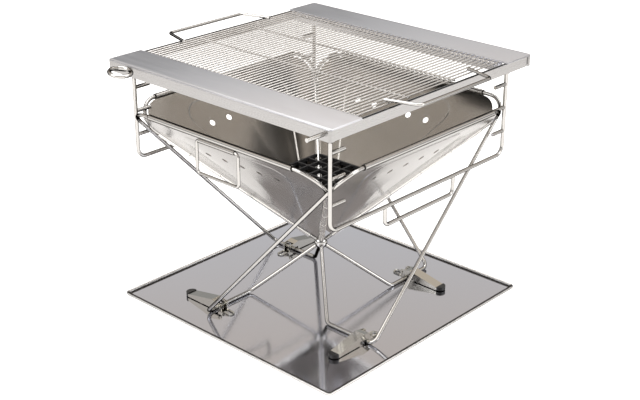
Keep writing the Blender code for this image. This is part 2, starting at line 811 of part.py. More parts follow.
def make_net():
    """Straight bars from side to side, joined by cross rods below them."""
    half = BAR_HALF
    bar_low = TOP_Z - BAR_SIZE
    reach = (BAR_COUNT - 1) / 2 * BAR_PITCH
    bars = []
    for index in range(BAR_COUNT):
        y = index * BAR_PITCH - reach
        bars.append(block((-half, y - BAR_SIZE / 2, bar_low), (half, y + BAR_SIZE / 2, TOP_Z)))
    rods = []
    rod_low = net_rod_bottom()
    long = reach + ROD_PAST_BARS
    for index in range(ROD_COUNT):
        x = (index - (ROD_COUNT - 1) / 2) * ROD_SPACING
        rods.append(block((x - ROD_SIZE / 2, -long, rod_low), (x + ROD_SIZE / 2, long, rod_low + ROD_SIZE)))
    place("grill_net", combined(gathered(bars), added=[gathered(rods)]), POLISHED)


def make_net_handles():
    """Wire handle over the front and the back edge of the net."""
    height = TOP_Z + FIT_GAP + HANDLE_WIRE
    points = [
        Vector((-HANDLE_ROOT_HALF, -HANDLE_ROOT_Y, height)),
        Vector((-HANDLE_TIP_HALF, -HANDLE_OUT_Y, height)),
        Vector((HANDLE_TIP_HALF, -HANDLE_OUT_Y, height)),
        Vector((HANDLE_ROOT_HALF, -HANDLE_ROOT_Y, height)),
    ]
    mesh = tube(rounded(points, [0.0, HANDLE_BEND, HANDLE_BEND, 0.0]), HANDLE_WIRE)
    place("net_handle_front", mesh, POLISHED)
    place("net_handle_back", mesh, POLISHED, Matrix.Rotation(math.pi, 4, "Z"))


def to_pivot(mesh):
    """Move a latch piece so that its origin is the lever's pivot."""
    mesh.transform(Matrix.Translation((LATCH_PIVOT_IN, 0.0, -LATCH_PIVOT_UP)))
    return mesh


def pin_rod(radius, half):
    """Rod along the latch's pivot."""
    x = -LATCH_PIVOT_IN
    return tube([Vector((x, -half, LATCH_PIVOT_UP)), Vector((x, half, LATCH_PIVOT_UP))], radius)


def make_lever_mesh():
    """Channel-section lever, deepest next to the foot wire and tapering to its tip."""
    heel = LEVER_HEEL
    far = 2 * heel
    above = 2 * LEVER_ROOT_Z
    outer = [
        (-heel, LEVER_NOTCH_Z), (LEVER_SHOULDER, LEVER_NOTCH_Z), (LEVER_SHOULDER, LEVER_FOOT_Z),
        (LEVER_LENGTH, LEVER_FOOT_Z), (LEVER_LENGTH, LEVER_TIP_Z), (LEVER_SHOULDER, LEVER_ROOT_Z),
        (-heel, LATCH_PIVOT_UP + PIN_COVER),
    ]
    top_start = -LATCH_PIVOT_IN + 2 * PIN_COVER
    wall = LEVER_SHEET
    tip = LEVER_LENGTH - 2 * wall
    inner = [
        (-far, -wall), (tip, -wall), (tip, LEVER_TIP_Z - wall),
        (LEVER_SHOULDER, LEVER_ROOT_Z - wall), (top_start, LATCH_PIVOT_UP + PIN_COVER + LATCH_PIN),
        (top_start, above), (-far, above),
    ]
    hollow = sideways_prism(inner, LEVER_HALF - wall)
    bore = pin_rod(LATCH_PIN + BORE_GAP, 2 * LEVER_HALF)
    return to_pivot(combined(sideways_prism(outer, LEVER_HALF), removed=[hollow, bore]))


def make_cap_mesh():
    """Rounded black cap on the lever's tip."""
    start = LEVER_LENGTH + FIT_GAP
    steps = 3 * BEND_STEPS
    outline = []
    for step in range(steps + 1):
        turn = math.pi * step / steps - math.pi / 2
        outline.append((start + CAP_RADIUS * math.cos(turn), CAP_RADIUS * math.sin(turn)))
    return to_pivot(prism(outline, LEVER_FOOT_Z, LEVER_FOOT_Z + CAP_HEIGHT))


def make_bracket_mesh():
    """Folded bracket on the base plate with two ears for the pin."""
    low = PLATE_SHEET + FIT_GAP
    high = LATCH_PIVOT_UP + PIN_COVER
    floor = low + BRACKET_SHEET
    inner = BRACKET_HALF - BRACKET_SHEET
    ear_back = -LATCH_PIVOT_IN - (LATCH_PIVOT_IN - BRACKET_FRONT)
    solid = block((-BRACKET_BACK, -BRACKET_HALF, low), (-BRACKET_FRONT, BRACKET_HALF, high))
    past = BRACKET_BACK + BRACKET_SHEET
    between = block((-past, -inner, floor), (0.0, inner, 2 * high))
    behind = block((-past, -LEVER_HALF, floor), (ear_back, LEVER_HALF, 2 * high))
    bore = pin_rod(LATCH_PIN + BORE_GAP, 2 * LEVER_HALF)
    return to_pivot(combined(solid, removed=[between, behind, bore]))


def make_keeper_mesh():
    """Small wire loop lying on the base plate behind the bracket."""
    height = PLATE_SHEET + FIT_GAP + KEEPER_WIRE
    near = -BRACKET_BACK - 2 * FIT_GAP
    far = near - KEEPER_REACH
    points = [
        Vector((near, -KEEPER_HALF, height)),
        Vector((far, -KEEPER_HALF, height)),
        Vector((far, KEEPER_HALF, height)),
        Vector((near, KEEPER_HALF, height)),
    ]
    return to_pivot(tube(rounded(points, [0.0, KEEPER_BEND, KEEPER_BEND, 0.0]), KEEPER_WIRE))


def latch_matrix(name):
    """Place of a latch: its pivot, with its lever pointing away from the middle of the plate."""
    along = LATCH_ALONG[name]
    foot = {
        "back": (FOOT_X, along, 0.0),
        "left": (-along, FOOT_X, math.pi / 2),
        "front": (-FOOT_X, -along, math.pi),
        "right": (along, -FOOT_X, -math.pi / 2),
    }
    x, y, turn = foot[name]
    spot = Matrix.Translation((x, y, 0.0)) @ Matrix.Rotation(turn, 4, "Z")
    return spot @ Matrix.Translation((-LATCH_PIVOT_IN, 0.0, LATCH_PIVOT_UP))


def make_latches():
    """Four foot latches of five pieces each, sharing their meshes."""
    meshes = {
        "bracket": (make_bracket_mesh(), POLISHED),
        "pin": (to_pivot(pin_rod(LATCH_PIN, LATCH_PIN_HALF)), POLISHED),
        "lever": (make_lever_mesh(), POLISHED),
        "cap": (make_cap_mesh(), DARK),
        "keeper": (make_keeper_mesh(), POLISHED),
    }
    for name in LATCH_ALONG:
        for piece, (mesh, finish) in meshes.items():
            place(f"latch_{name}_{piece}", mesh, finish, latch_matrix(name))


def main():
    """Build every piece of the grill."""
    clear_scene()
    make_base_plate()
    make_bowl_sides()
    make_hub()
    make_bails()
    make_grate()
    make_front_frame()
    make_back_frame()
    make_top_frame()
    make_net()
    make_net_handles()
    make_latches()


main()
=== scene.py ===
"""Looks of the folding charcoal grill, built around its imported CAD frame.

Every piece is modelled in the frame's own coordinates: metres, +Z up, the left side at -X
and the front at -Y.
"""

from __future__ import annotations

import json
import logging
import math
from collections.abc import Sequence
from dataclasses import dataclass, field
from enum import Enum

import bmesh
import bpy
from mathutils import Matrix, Vector
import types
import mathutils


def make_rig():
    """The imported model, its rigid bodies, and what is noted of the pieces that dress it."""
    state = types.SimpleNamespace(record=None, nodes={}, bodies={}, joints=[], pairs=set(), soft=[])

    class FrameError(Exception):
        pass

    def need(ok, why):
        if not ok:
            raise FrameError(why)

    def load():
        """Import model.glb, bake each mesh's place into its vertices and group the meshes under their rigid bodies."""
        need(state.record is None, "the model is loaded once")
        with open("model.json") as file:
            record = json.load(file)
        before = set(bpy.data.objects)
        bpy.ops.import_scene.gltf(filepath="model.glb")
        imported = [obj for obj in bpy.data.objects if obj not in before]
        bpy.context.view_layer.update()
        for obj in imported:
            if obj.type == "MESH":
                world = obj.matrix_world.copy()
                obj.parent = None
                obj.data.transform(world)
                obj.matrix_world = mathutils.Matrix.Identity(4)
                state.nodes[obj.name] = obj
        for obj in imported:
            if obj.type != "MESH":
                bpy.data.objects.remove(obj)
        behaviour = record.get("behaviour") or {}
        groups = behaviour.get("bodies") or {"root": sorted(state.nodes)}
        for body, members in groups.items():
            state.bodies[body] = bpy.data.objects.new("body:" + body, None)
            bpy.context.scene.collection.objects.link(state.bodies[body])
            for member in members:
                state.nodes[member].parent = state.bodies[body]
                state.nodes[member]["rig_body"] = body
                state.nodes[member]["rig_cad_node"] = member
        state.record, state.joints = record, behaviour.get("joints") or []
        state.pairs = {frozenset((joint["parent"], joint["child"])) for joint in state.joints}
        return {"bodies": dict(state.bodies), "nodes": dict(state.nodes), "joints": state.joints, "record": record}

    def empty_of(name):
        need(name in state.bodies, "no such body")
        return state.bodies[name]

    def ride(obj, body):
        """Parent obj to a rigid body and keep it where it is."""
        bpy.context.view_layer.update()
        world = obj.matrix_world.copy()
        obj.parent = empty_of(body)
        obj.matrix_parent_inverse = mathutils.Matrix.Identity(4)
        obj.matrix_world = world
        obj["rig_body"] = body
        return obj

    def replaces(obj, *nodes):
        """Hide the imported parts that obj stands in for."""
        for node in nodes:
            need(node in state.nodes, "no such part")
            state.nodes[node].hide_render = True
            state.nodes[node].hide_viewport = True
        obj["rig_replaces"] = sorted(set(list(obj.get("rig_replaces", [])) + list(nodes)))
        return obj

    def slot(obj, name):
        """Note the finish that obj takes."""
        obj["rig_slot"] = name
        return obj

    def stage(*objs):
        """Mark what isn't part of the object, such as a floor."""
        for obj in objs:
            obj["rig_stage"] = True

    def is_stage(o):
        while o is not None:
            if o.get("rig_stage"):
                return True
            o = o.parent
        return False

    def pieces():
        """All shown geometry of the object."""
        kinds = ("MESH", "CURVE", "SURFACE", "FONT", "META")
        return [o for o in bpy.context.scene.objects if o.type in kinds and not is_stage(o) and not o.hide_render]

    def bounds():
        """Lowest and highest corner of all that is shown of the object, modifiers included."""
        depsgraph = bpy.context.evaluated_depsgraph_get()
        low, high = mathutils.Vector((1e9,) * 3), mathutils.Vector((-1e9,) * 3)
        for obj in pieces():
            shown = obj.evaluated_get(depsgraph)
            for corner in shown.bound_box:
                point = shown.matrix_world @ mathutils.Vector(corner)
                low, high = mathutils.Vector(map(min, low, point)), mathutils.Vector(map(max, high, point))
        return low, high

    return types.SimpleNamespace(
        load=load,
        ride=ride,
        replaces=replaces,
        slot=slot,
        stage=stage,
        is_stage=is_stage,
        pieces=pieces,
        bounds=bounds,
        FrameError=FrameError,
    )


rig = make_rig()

LOG = logging.getLogger("grill")
SIZE_FILE = "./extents.json"
WELD = 1e-7
SIDE_WELD = 1e-6
Triple = tuple[float, float, float]
Colour = Triple
Socket = bpy.types.NodeSocket

# Angles in degrees above which an edge is shaded sharp.
PANEL_SHARP = 25.0
FLAT_SHARP = 35.0
TUBE_SHARP = 40.0
ROUND_SHARP = 60.0

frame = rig.load()


class Slot(str, Enum):
    """Material slots of the record."""

    MIRROR = "mirror_steel"
    WIRE = "bright_wire"
    BRUSHED = "brushed_steel"


class Face(Enum):
    """Sides of the grill, with the quarter turns that bring the left one to each."""

    LEFT = 0
    FRONT = 1
    RIGHT = 2
    BACK = 3

    @property
    def word(self) -> str:
        """Name as it is used in node names."""
        return self.name.lower()

    @property
    def spin(self) -> Matrix:
        """Rotation from the left side to this one."""
        return Matrix.Rotation(self.value * math.pi / 2, 4, "Z")


# The sides with a shelf and a bail.
ENDS = (Face.LEFT, Face.RIGHT)


class Hand(Enum):
    """The two sloping edges of a bowl side."""

    PIN = -1
    LEG = 1


@dataclass(frozen=True)
class BowlShape:
    """Form of the bowl that several sub-assemblies meet, in metres."""

    rim_half: float = 0.215
    rim_z: float = 0.320
    hub_z: float = 0.088
    wire: float = 0.003
    bore_gap: float = 0.0004

    @property
    def rise(self) -> float:
        """Height from the hub to the rim."""
        return self.rim_z - self.hub_z

    @property
    def slant(self) -> float:
        """Length of a side from the hub to the middle of its rim."""
        return math.hypot(self.rim_half, self.rise)

    @property
    def outward(self) -> float:
        """Horizontal share of the slope."""
        return self.rim_half / self.slant

    @property
    def upward(self) -> float:
        """Vertical share of the slope."""
        return self.rise / self.slant

    @property
    def half_angle(self) -> float:
        """Half the angle of a side at the hub."""
        return math.atan2(self.rim_half, self.slant)

    @property
    def edge(self) -> float:
        """Length of a sloping edge."""
        return math.hypot(self.rim_half, self.slant)

    @property
    def bore(self) -> float:
        """Radius of the bores that hold the wire."""
        return self.wire + self.bore_gap

    def plane(self) -> Matrix:
        """Find where the left side lies.

        Returns:
            Matrix from the side's axes (up the slope, along the rim, outward) to the frame.
        """
        return Matrix((
            (-self.outward, 0.0, -self.upward, 0.0),
            (0.0, 1.0, 0.0, 0.0),
            (self.upward, 0.0, -self.outward, self.hub_z),
            (0.0, 0.0, 0.0, 1.0),
        ))

    def edge_point(self, along: float, inset: float, hand: Hand) -> Vector:
        """Point of a side near its sloping edge.

        Args:
            along: Distance up the edge from the hub.
            inset: Distance in from the edge.
            hand: Which of the two edges.

        Returns:
            The point in the side's own axes.
        """
        up = along * math.cos(self.half_angle) + inset * math.sin(self.half_angle)
        across = along * math.sin(self.half_angle) - inset * math.cos(self.half_angle)
        return Vector((up, hand.value * across, 0.0))


@dataclass(frozen=True)
class TopShape:
    """Form of the top frame that several sub-assemblies meet, in metres."""

    half: float = 0.225
    top_z: float = 0.397
    shelf_width: float = 0.062
    bar_radius: float = 0.0013
    rod_radius: float = 0.0015
    rod_bite: float = 0.0006
    seat_gap: float = 0.0003

    @property
    def shelf_inner(self) -> float:
        """X of the left shelf's inner edge."""
        return -self.half + self.shelf_width

    @property
    def rod_z(self) -> float:
        """Height of the axes of the net's cross rods."""
        return self.top_z - 2 * self.bar_radius + self.rod_bite - self.rod_radius

    @property
    def ledge_z(self) -> float:
        """Height of the ledge that the cross rods rest on."""
        return self.rod_z - self.rod_radius - self.seat_gap


class Path:
    """Polyline with rounded corners."""

    def __init__(self, closed: bool = False, steps: int = 8) -> None:
        """Start an empty path.

        Args:
            closed: Whether the last point joins the first.
            steps: Segments in each rounded corner.
        """
        self.closed = closed
        self.steps = steps
        self.corners: list[tuple[Vector, float]] = []

    def to(self, x: float, y: float, z: float = 0.0, bend: float = 0.0) -> Path:
        """Add a corner with the radius of its bend and return the path."""
        self.corners.append((Vector((x, y, z)), bend))
        return self

    def points(self) -> list[Vector]:
        """Find the points along the path, bends included.

        Returns:
            The points in order.
        """
        found: list[Vector] = []
        last = len(self.corners) - 1
        for index, (corner, bend) in enumerate(self.corners):
            if bend == 0.0 or (not self.closed and index in (0, last)):
                found.append(corner.copy())
                continue
            before = (self.corners[index - 1][0] - corner).normalized()
            after = (self.corners[(index + 1) % len(self.corners)][0] - corner).normalized()
            half = before.angle(after) / 2
            middle = corner + (before + after).normalized() * bend / math.sin(half)
            start = corner + before * bend / math.tan(half) - middle
            end = corner + after * bend / math.tan(half) - middle
            axis = start.cross(end).normalized()
            turn = math.pi - 2 * half
            for step in range(self.steps + 1):
                found.append(middle + Matrix.Rotation(turn * step / self.steps, 3, axis) @ start)
        return found


class Builder:
    """Mesh under construction, made with bmesh operators."""

    LIP_SHARE = 0.25

    def __init__(self) -> None:
        """Start an empty mesh."""
        self.bm = bmesh.new()

    def sweep(self, path: Sequence[Vector], radius: float, sides: int = 16, closed: bool = False) -> Builder:
        """Add a round wire along a path.

        Args:
            path: Points of the wire's axis.
            radius: Radius of the wire.
            sides: Sides of its section.
            closed: Whether the wire joins up with itself.

        Returns:
            The builder.
        """
        places = self._frames(path, closed)
        made = bmesh.ops.create_circle(self.bm, segments=sides, radius=radius, matrix=places[0])
        first = ring = list(dict.fromkeys(edge for vert in made["verts"] for edge in vert.link_edges))
        for before, after in zip(places, places[1:]):
            grown = bmesh.ops.extrude_edge_only(self.bm, edges=ring)["geom"]
            verts = {item for item in grown if isinstance(item, bmesh.types.BMVert)}
            edges = [item for item in grown if isinstance(item, bmesh.types.BMEdge)]
            ring = [edge for edge in edges if set(edge.verts) <= verts]
            bmesh.ops.transform(self.bm, matrix=after @ before.inverted(), verts=list(verts))
        if closed:
            bmesh.ops.bridge_loops(self.bm, edges=first + ring)
        else:
            bmesh.ops.holes_fill(self.bm, edges=first + ring, sides=sides)
        return self

    @staticmethod
    def _frames(path: Sequence[Vector], closed: bool) -> list[Matrix]:
        """Place the wire's section along a path, without needless twist.

        Args:
            path: Points of the wire's axis.
            closed: Whether the path joins up with itself.

        Returns:
            A matrix for each point.
        """
        count = len(path)
        tangents = []
        for index in range(count):
            after = path[(index + 1) % count] if closed or index < count - 1 else path[index]
            before = path[index - 1] if closed or index > 0 else path[index]
            tangents.append((after - before).normalized())
        side = tangents[0].orthogonal().normalized()
        places = []
        for point, tangent in zip(path, tangents):
            side = (side - tangent * side.dot(tangent)).normalized()
            turned = Matrix((side, tangent.cross(side), tangent)).transposed().to_4x4()
            places.append(Matrix.Translation(point) @ turned)
        return places

    def ring(self, outline: Sequence[Vector]) -> list[bmesh.types.BMEdge]:
        """Add the closed ring of edges through some points."""
        verts = [self.bm.verts.new(point) for point in outline]
        return [self.bm.edges.new((verts[index - 1], verts[index])) for index in range(len(verts))]

    def pipe(self, start: Vector, end: Vector, outer: float, inner: float, steps: int = 20) -> Builder:
        """Add a straight tube with an open bore between two points.

        Args:
            start: Middle of one end.
            end: Middle of the other end.
            outer: Outer radius.
            inner: Radius of the bore.
            steps: Sides of its section.

        Returns:
            The builder.
        """
        axis = end - start
        turn = Vector((0.0, 0.0, 1.0)).rotation_difference(axis).to_matrix()
        lip = (outer - inner) * self.LIP_SHARE
        profile = [
            (inner, 0.0), (outer - lip, 0.0), (outer, lip),
            (outer, axis.length - lip), (outer - lip, axis.length), (inner, axis.length),
        ]
        edges = self.ring([start + turn @ Vector((radius, 0.0, height)) for radius, height in profile])
        corners = list(dict.fromkeys(vert for edge in edges for vert in edge.verts))
        bmesh.ops.spin(
            self.bm, geom=corners + edges, cent=start, axis=axis.normalized(),
            angle=2 * math.pi, steps=steps, use_merge=True, use_duplicate=False,
        )
        return self

    def loops(self, rings: Sequence[Sequence[Vector]], capped: bool = True) -> Builder:
        """Add the surface through rings that have the same number of points.

        Args:
            rings: Rings of points, in order.
            capped: Whether the first and last rings are closed with a face.

        Returns:
            The builder.
        """
        edges = [self.ring(ring) for ring in rings]
        for low, high in zip(edges, edges[1:]):
            bmesh.ops.bridge_loops(self.bm, edges=low + high)
        if capped:
            bmesh.ops.contextual_create(self.bm, geom=edges[0])
            bmesh.ops.contextual_create(self.bm, geom=edges[-1])
        return self

    def prism(self, outline: Sequence[Vector], low: float, high: float) -> Builder:
        """Add a flat outline given thickness along Z.

        Args:
            outline: Points of the outline.
            low: Height of its underside.
            high: Height of its top.

        Returns:
            The builder.
        """
        face = self.bm.faces.new([self.bm.verts.new((point[0], point[1], low)) for point in outline])
        self.grow([face], high - low, False)
        return self

    def grow(self, faces: Sequence[bmesh.types.BMFace], depth: float, keep: bool) -> None:
        """Extrude faces along Z.

        Args:
            faces: Faces to extrude.
            depth: How far the new faces lie above the first ones.
            keep: Whether the first faces stay, as the other skin of a sheet.
        """
        grown = bmesh.ops.extrude_face_region(self.bm, geom=list(faces), use_keep_orig=keep)["geom"]
        raised = [item for item in grown if isinstance(item, bmesh.types.BMVert)]
        bmesh.ops.translate(self.bm, verts=raised, vec=(0.0, 0.0, depth))

    def sheet(self, outlines: Sequence[Sequence[Vector]]) -> Builder:
        """Add flat faces inside the first outline and outside the others.

        Args:
            outlines: Points of each outline.

        Returns:
            The builder.
        """
        edges = [edge for outline in outlines for edge in self.ring(outline)]
        bmesh.ops.triangle_fill(self.bm, use_beauty=True, edges=edges)
        return self

    def weld(self, distance: float) -> Builder:
        """Join points that lie close together and turn all faces outward.

        Args:
            distance: How close together, in metres.

        Returns:
            The builder.
        """
        bmesh.ops.remove_doubles(self.bm, verts=self.bm.verts, dist=distance)
        bmesh.ops.recalc_face_normals(self.bm, faces=self.bm.faces)
        return self

    def moved(self, matrix: Matrix) -> Builder:
        """Move everything so far by a matrix."""
        bmesh.ops.transform(self.bm, matrix=matrix, verts=self.bm.verts)
        return self

    def finish(self, name: str, sharp: float = FLAT_SHARP) -> bpy.types.Object:
        """Make the object that holds the mesh.

        Args:
            name: Name of the object.
            sharp: Angle in degrees above which an edge is shaded sharp.

        Returns:
            The object, at the origin and linked to the scene.
        """
        self.weld(WELD)
        for face in self.bm.faces:
            face.smooth = True
        mesh = bpy.data.meshes.new(name)
        self.bm.to_mesh(mesh)
        self.bm.free()
        mesh.set_sharp_from_angle(angle=math.radians(sharp))
        made = bpy.data.objects.new(name, mesh)
        bpy.context.scene.collection.objects.link(made)
        return made


class Nodes:
    """Shader nodes of one tree."""

    def __init__(self, tree: bpy.types.NodeTree) -> None:
        """Hold a tree.

        Args:
            tree: The node tree to add to.
        """
        self.tree = tree

    def node(self, kind: str, values: dict[str, object] | None = None, **facts: object) -> bpy.types.Node:
        """Add a node.

        Args:
            kind: Type of the node.
            values: Default values of its inputs, by name.
            facts: Its properties, by name.

        Returns:
            The node.
        """
        made = self.tree.nodes.new(kind)
        for word, value in facts.items():
            setattr(made, word, value)
        for word, value in (values or {}).items():
            made.inputs[word].default_value = value
        return made

    def link(self, source: Socket, target: Socket) -> None:
        """Join two sockets."""
        self.tree.links.new(source, target)

    def spread(
        self, source: Socket, taken: tuple[float, float], given: tuple[float, float] = (0.0, 1.0),
        smooth: bool = False,
    ) -> Socket:
        """Map a value from one range to another.

        Args:
            source: The value.
            taken: Range that it comes from.
            given: Range that it goes to.
            smooth: Whether the two ends are eased.

        Returns:
            The mapped value.
        """
        made = self.node("ShaderNodeMapRange", interpolation_type="SMOOTHSTEP" if smooth else "LINEAR")
        words = ("From Min", "From Max", "To Min", "To Max")
        for word, value in zip(words, (*taken, *given)):
            made.inputs[word].default_value = value
        self.link(source, made.inputs["Value"])
        return made.outputs["Result"]

    def toward(self, source: Socket, direction: Triple | Vector) -> Socket:
        """Measure how far a vector reaches along a direction.

        Args:
            source: The vector.
            direction: The direction, of length 1.

        Returns:
            The length.
        """
        made = self.node("ShaderNodeVectorMath", operation="DOT_PRODUCT")
        made.inputs[1].default_value = direction
        self.link(source, made.inputs[0])
        return made.outputs["Value"]

    def blend(self, share: Socket, first: Colour, second: Colour) -> bpy.types.Node:
        """Mix two colours.

        Args:
            share: Share of the second colour.
            first: First colour.
            second: Second colour.

        Returns:
            The mixing node.
        """
        values = {"A": (*first, 1.0), "B": (*second, 1.0)}
        made = self.node("ShaderNodeMix", values, data_type="RGBA")
        self.link(share, made.inputs["Factor"])
        return made


class Group(Nodes):
    """Shader node group that gives varying values to a material."""

    NOISE_RANGE = (0.3, 0.7)

    def __init__(self, name: str, inputs: dict[str, float], outputs: Sequence[str]) -> None:
        """Start a group.

        Args:
            name: Name of the group.
            inputs: Its number inputs and their defaults.
            outputs: Its outputs; one named Normal is a vector, the others are numbers.
        """
        super().__init__(bpy.data.node_groups.new(name, "ShaderNodeTree"))
        for word, value in inputs.items():
            socket = self.tree.interface.new_socket(word, in_out="INPUT", socket_type="NodeSocketFloat")
            socket.default_value = value
        for word in outputs:
            kind = "NodeSocketVector" if word == "Normal" else "NodeSocketFloat"
            self.tree.interface.new_socket(word, in_out="OUTPUT", socket_type=kind)
        self.start = self.node("NodeGroupInput")
        self.end = self.node("NodeGroupOutput")
        self.place = self.node("ShaderNodeTexCoord").outputs["Object"]

    def noise(self, scale: Triple, detail: float = 3.0) -> Socket:
        """Make noise over the object's own coordinates.

        Args:
            scale: Scale along each axis.
            detail: Octaves of the noise.

        Returns:
            The noise, 0 to 1.
        """
        mapping = self.node("ShaderNodeMapping", {"Scale": scale})
        self.link(self.place, mapping.inputs["Vector"])
        noise = self.node("ShaderNodeTexNoise", {"Scale": 1.0, "Detail": detail})
        self.link(mapping.outputs["Vector"], noise.inputs["Vector"])
        return noise.outputs["Fac"]

    def below(self, top: float, fade: float) -> Socket:
        """Mask what lies below a height of the object.

        Args:
            top: Height in metres at which the mask has faded out.
            fade: Height over which it fades.

        Returns:
            The mask, 1 below and 0 above.
        """
        split = self.node("ShaderNodeSeparateXYZ")
        self.link(self.place, split.inputs["Vector"])
        return self.spread(split.outputs["Z"], (top - fade, top), (1.0, 0.0), smooth=True)

    def ranged(self, source: Socket, low: str, high: str, word: str) -> None:
        """Spread noise between two inputs and give it out.

        Args:
            source: The noise.
            low: Input with the lowest value.
            high: Input with the highest value.
            word: Output that takes the result.
        """
        spread = self.spread(source, self.NOISE_RANGE).node
        self.link(self.start.outputs[low], spread.inputs["To Min"])
        self.link(self.start.outputs[high], spread.inputs["To Max"])
        self.link(spread.outputs["Result"], self.end.inputs[word])

    def bump(self, source: Socket, strength: str, depth: float) -> None:
        """Give out a surface normal raised by a value.

        Args:
            source: The value.
            strength: Input with the strength.
            depth: Depth in metres.
        """
        bump = self.node("ShaderNodeBump", {"Distance": depth})
        self.link(source, bump.inputs["Height"])
        self.link(self.start.outputs[strength], bump.inputs["Strength"])
        self.link(bump.outputs["Normal"], self.end.inputs["Normal"])


@dataclass(frozen=True)
class Finish:
    """Surface of some pieces."""

    name: str
    colour: Colour
    metallic: float
    low: float
    high: float
    grain: Triple = (60.0, 60.0, 60.0)
    bump: float = 0.0
    depth: float = 0.0002
    tint: Colour | None = None
    # Colour painted in where the surface turns away from view, a painted dark reflection.
    edge: Colour | None = None
    # Height below which the tint is painted on as shade; 0 leaves the tint to broad random tone.
    shade_top: float = 0.0

    BROAD = (7.0, 7.0, 7.0)
    BROAD_DETAIL = 2.0
    SHADE_FADE = 0.004
    EDGE_RANGE = (0.34, 0.74)

    def group(self) -> bpy.types.NodeTree:
        """Make the node group with this finish's grain.

        Returns:
            The group, which gives roughness, normal and the mask of the tint: painted shade below a height, or else
            broad random tone.
        """
        values = {"Low": self.low, "High": self.high, "Strength": self.bump}
        group = Group(f"{self.name}_grain", values, ("Roughness", "Normal", "Mask"))
        fine = group.noise(self.grain)
        group.ranged(fine, "Low", "High", "Roughness")
        group.bump(fine, "Strength", self.depth)
        # Painted shade: the tint darkens everything below a height.
        if self.shade_top:
            mask = group.below(self.shade_top, self.SHADE_FADE)
        else:
            mask = group.noise(self.BROAD, self.BROAD_DETAIL)
        group.link(mask, group.end.inputs["Mask"])
        return group.tree

    def material(self) -> bpy.types.Material:
        """Make the material, with the Principled shader at its heart.

        Returns:
            The material.
        """
        made = bpy.data.materials.new(self.name)
        made.use_nodes = True
        nodes = Nodes(made.node_tree)
        shader = nodes.tree.nodes["Principled BSDF"]
        shader.inputs["Metallic"].default_value = self.metallic
        shader.inputs["Base Color"].default_value = (*self.colour, 1.0)
        grain = nodes.node("ShaderNodeGroup", node_tree=self.group())
        nodes.link(grain.outputs["Roughness"], shader.inputs["Roughness"])
        if self.bump:
            nodes.link(grain.outputs["Normal"], shader.inputs["Normal"])
        if self.tint:
            tinted = nodes.blend(grain.outputs["Mask"], self.colour, self.tint)
            nodes.link(tinted.outputs["Result"], shader.inputs["Base Color"])
        # Painted dark reflection along the edges that turn away.
        if self.edge:
            self.darken_edges(nodes, shader, self.edge)
        return made

    def darken_edges(self, nodes: Nodes, shader: bpy.types.Node, edge: Colour) -> None:
        """Paint a dark reflection into the colour where the surface turns away, as polished wire looks against dark
        studio flags.

        Args:
            nodes: Nodes of the material.
            shader: Its Principled shader.
            edge: Colour of the painted dark reflection at the edges.
        """
        weight = nodes.node("ShaderNodeLayerWeight")
        share = nodes.spread(weight.outputs["Facing"], self.EDGE_RANGE, smooth=True)
        nodes.link(nodes.blend(share, self.colour, edge).outputs["Result"], shader.inputs["Base Color"])
        shader.inputs["Specular Tint"].default_value = (*edge, 1.0)


SMOOTH_SHEET = {"grain": (9.0, 9.0, 9.0), "bump": 0.05, "depth": 0.002}
FINE_LINES = {"bump": 0.10, "depth": 0.0001}


class Look(Enum):
    """The finishes to choose from."""

    MIRROR = Finish("mirror", (0.62, 0.63, 0.68), 1.0, 0.07, 0.12, (4.0, 4.0, 4.0), 0.03, 0.002)
    SHEET = Finish("sheet", (0.46, 0.45, 0.445), 1.0, 0.14, 0.22, tint=(0.40, 0.39, 0.385), **SMOOTH_SHEET)
    # Inside of the bowl: below the grate's seat it is painted almost black, a painted shade under the grate.
    INSIDE = Finish(
        "inside", (0.47, 0.45, 0.42), 1.0, 0.16, 0.24,
        tint=(0.025, 0.023, 0.02), shade_top=0.186, **SMOOTH_SHEET,
    )
    KNUCKLE = Finish("knuckle", (0.86, 0.85, 0.83), 1.0, 0.08, 0.14)
    # WIRE, NET and BEAD take an edge colour, a painted dark reflection where their round surfaces turn away.
    WIRE = Finish("wire", (0.64, 0.63, 0.615), 1.0, 0.10, 0.16, edge=(0.06, 0.055, 0.05))
    NET = Finish("net_wire", (0.93, 0.92, 0.91), 1.0, 0.18, 0.24, edge=(0.48, 0.47, 0.46))
    BEAD = Finish("bead", (0.95, 0.94, 0.93), 1.0, 0.22, 0.30, edge=(0.12, 0.11, 0.10))
    LATCH = Finish("latch", (0.70, 0.685, 0.63), 1.0, 0.08, 0.14)
    BRUSHED = Finish("brushed", (0.74, 0.745, 0.78), 1.0, 0.28, 0.38, (900.0, 12.0, 900.0), **FINE_LINES)
    APRON = Finish("apron", (0.47, 0.465, 0.465), 1.0, 0.24, 0.34, (12.0, 12.0, 900.0), **FINE_LINES)
    IRON = Finish("iron", (0.025, 0.025, 0.027), 0.0, 0.45, 0.65, (300.0, 300.0, 300.0), 0.5)
    PLASTIC = Finish("plastic", (0.012, 0.012, 0.012), 0.0, 0.30, 0.40)
    # Near-black painted shade: the bead's dark band, the strip inside the bead and the rings at the hem's ends.
    SEAM = Finish("seam", (0.05, 0.045, 0.04), 0.6, 0.40, 0.60)


@dataclass
class Palette:
    """Materials of all finishes, each made once."""

    made: dict[Look, bpy.types.Material] = field(default_factory=dict)

    def __post_init__(self) -> None:
        """Make every material."""
        self.made = {look: look.value.material() for look in Look}

    def dress(self, target: bpy.types.Object, *looks: Look) -> None:
        """Give an object a finish.

        Args:
            target: The object.
            looks: Its finishes, one for each material index of its faces; the last one fills what is left.
        """
        while len(target.material_slots) < len(looks):
            target.data.materials.append(None)
        for index, place in enumerate(target.material_slots):
            place.material = self.made[looks[min(index, len(looks) - 1)]]


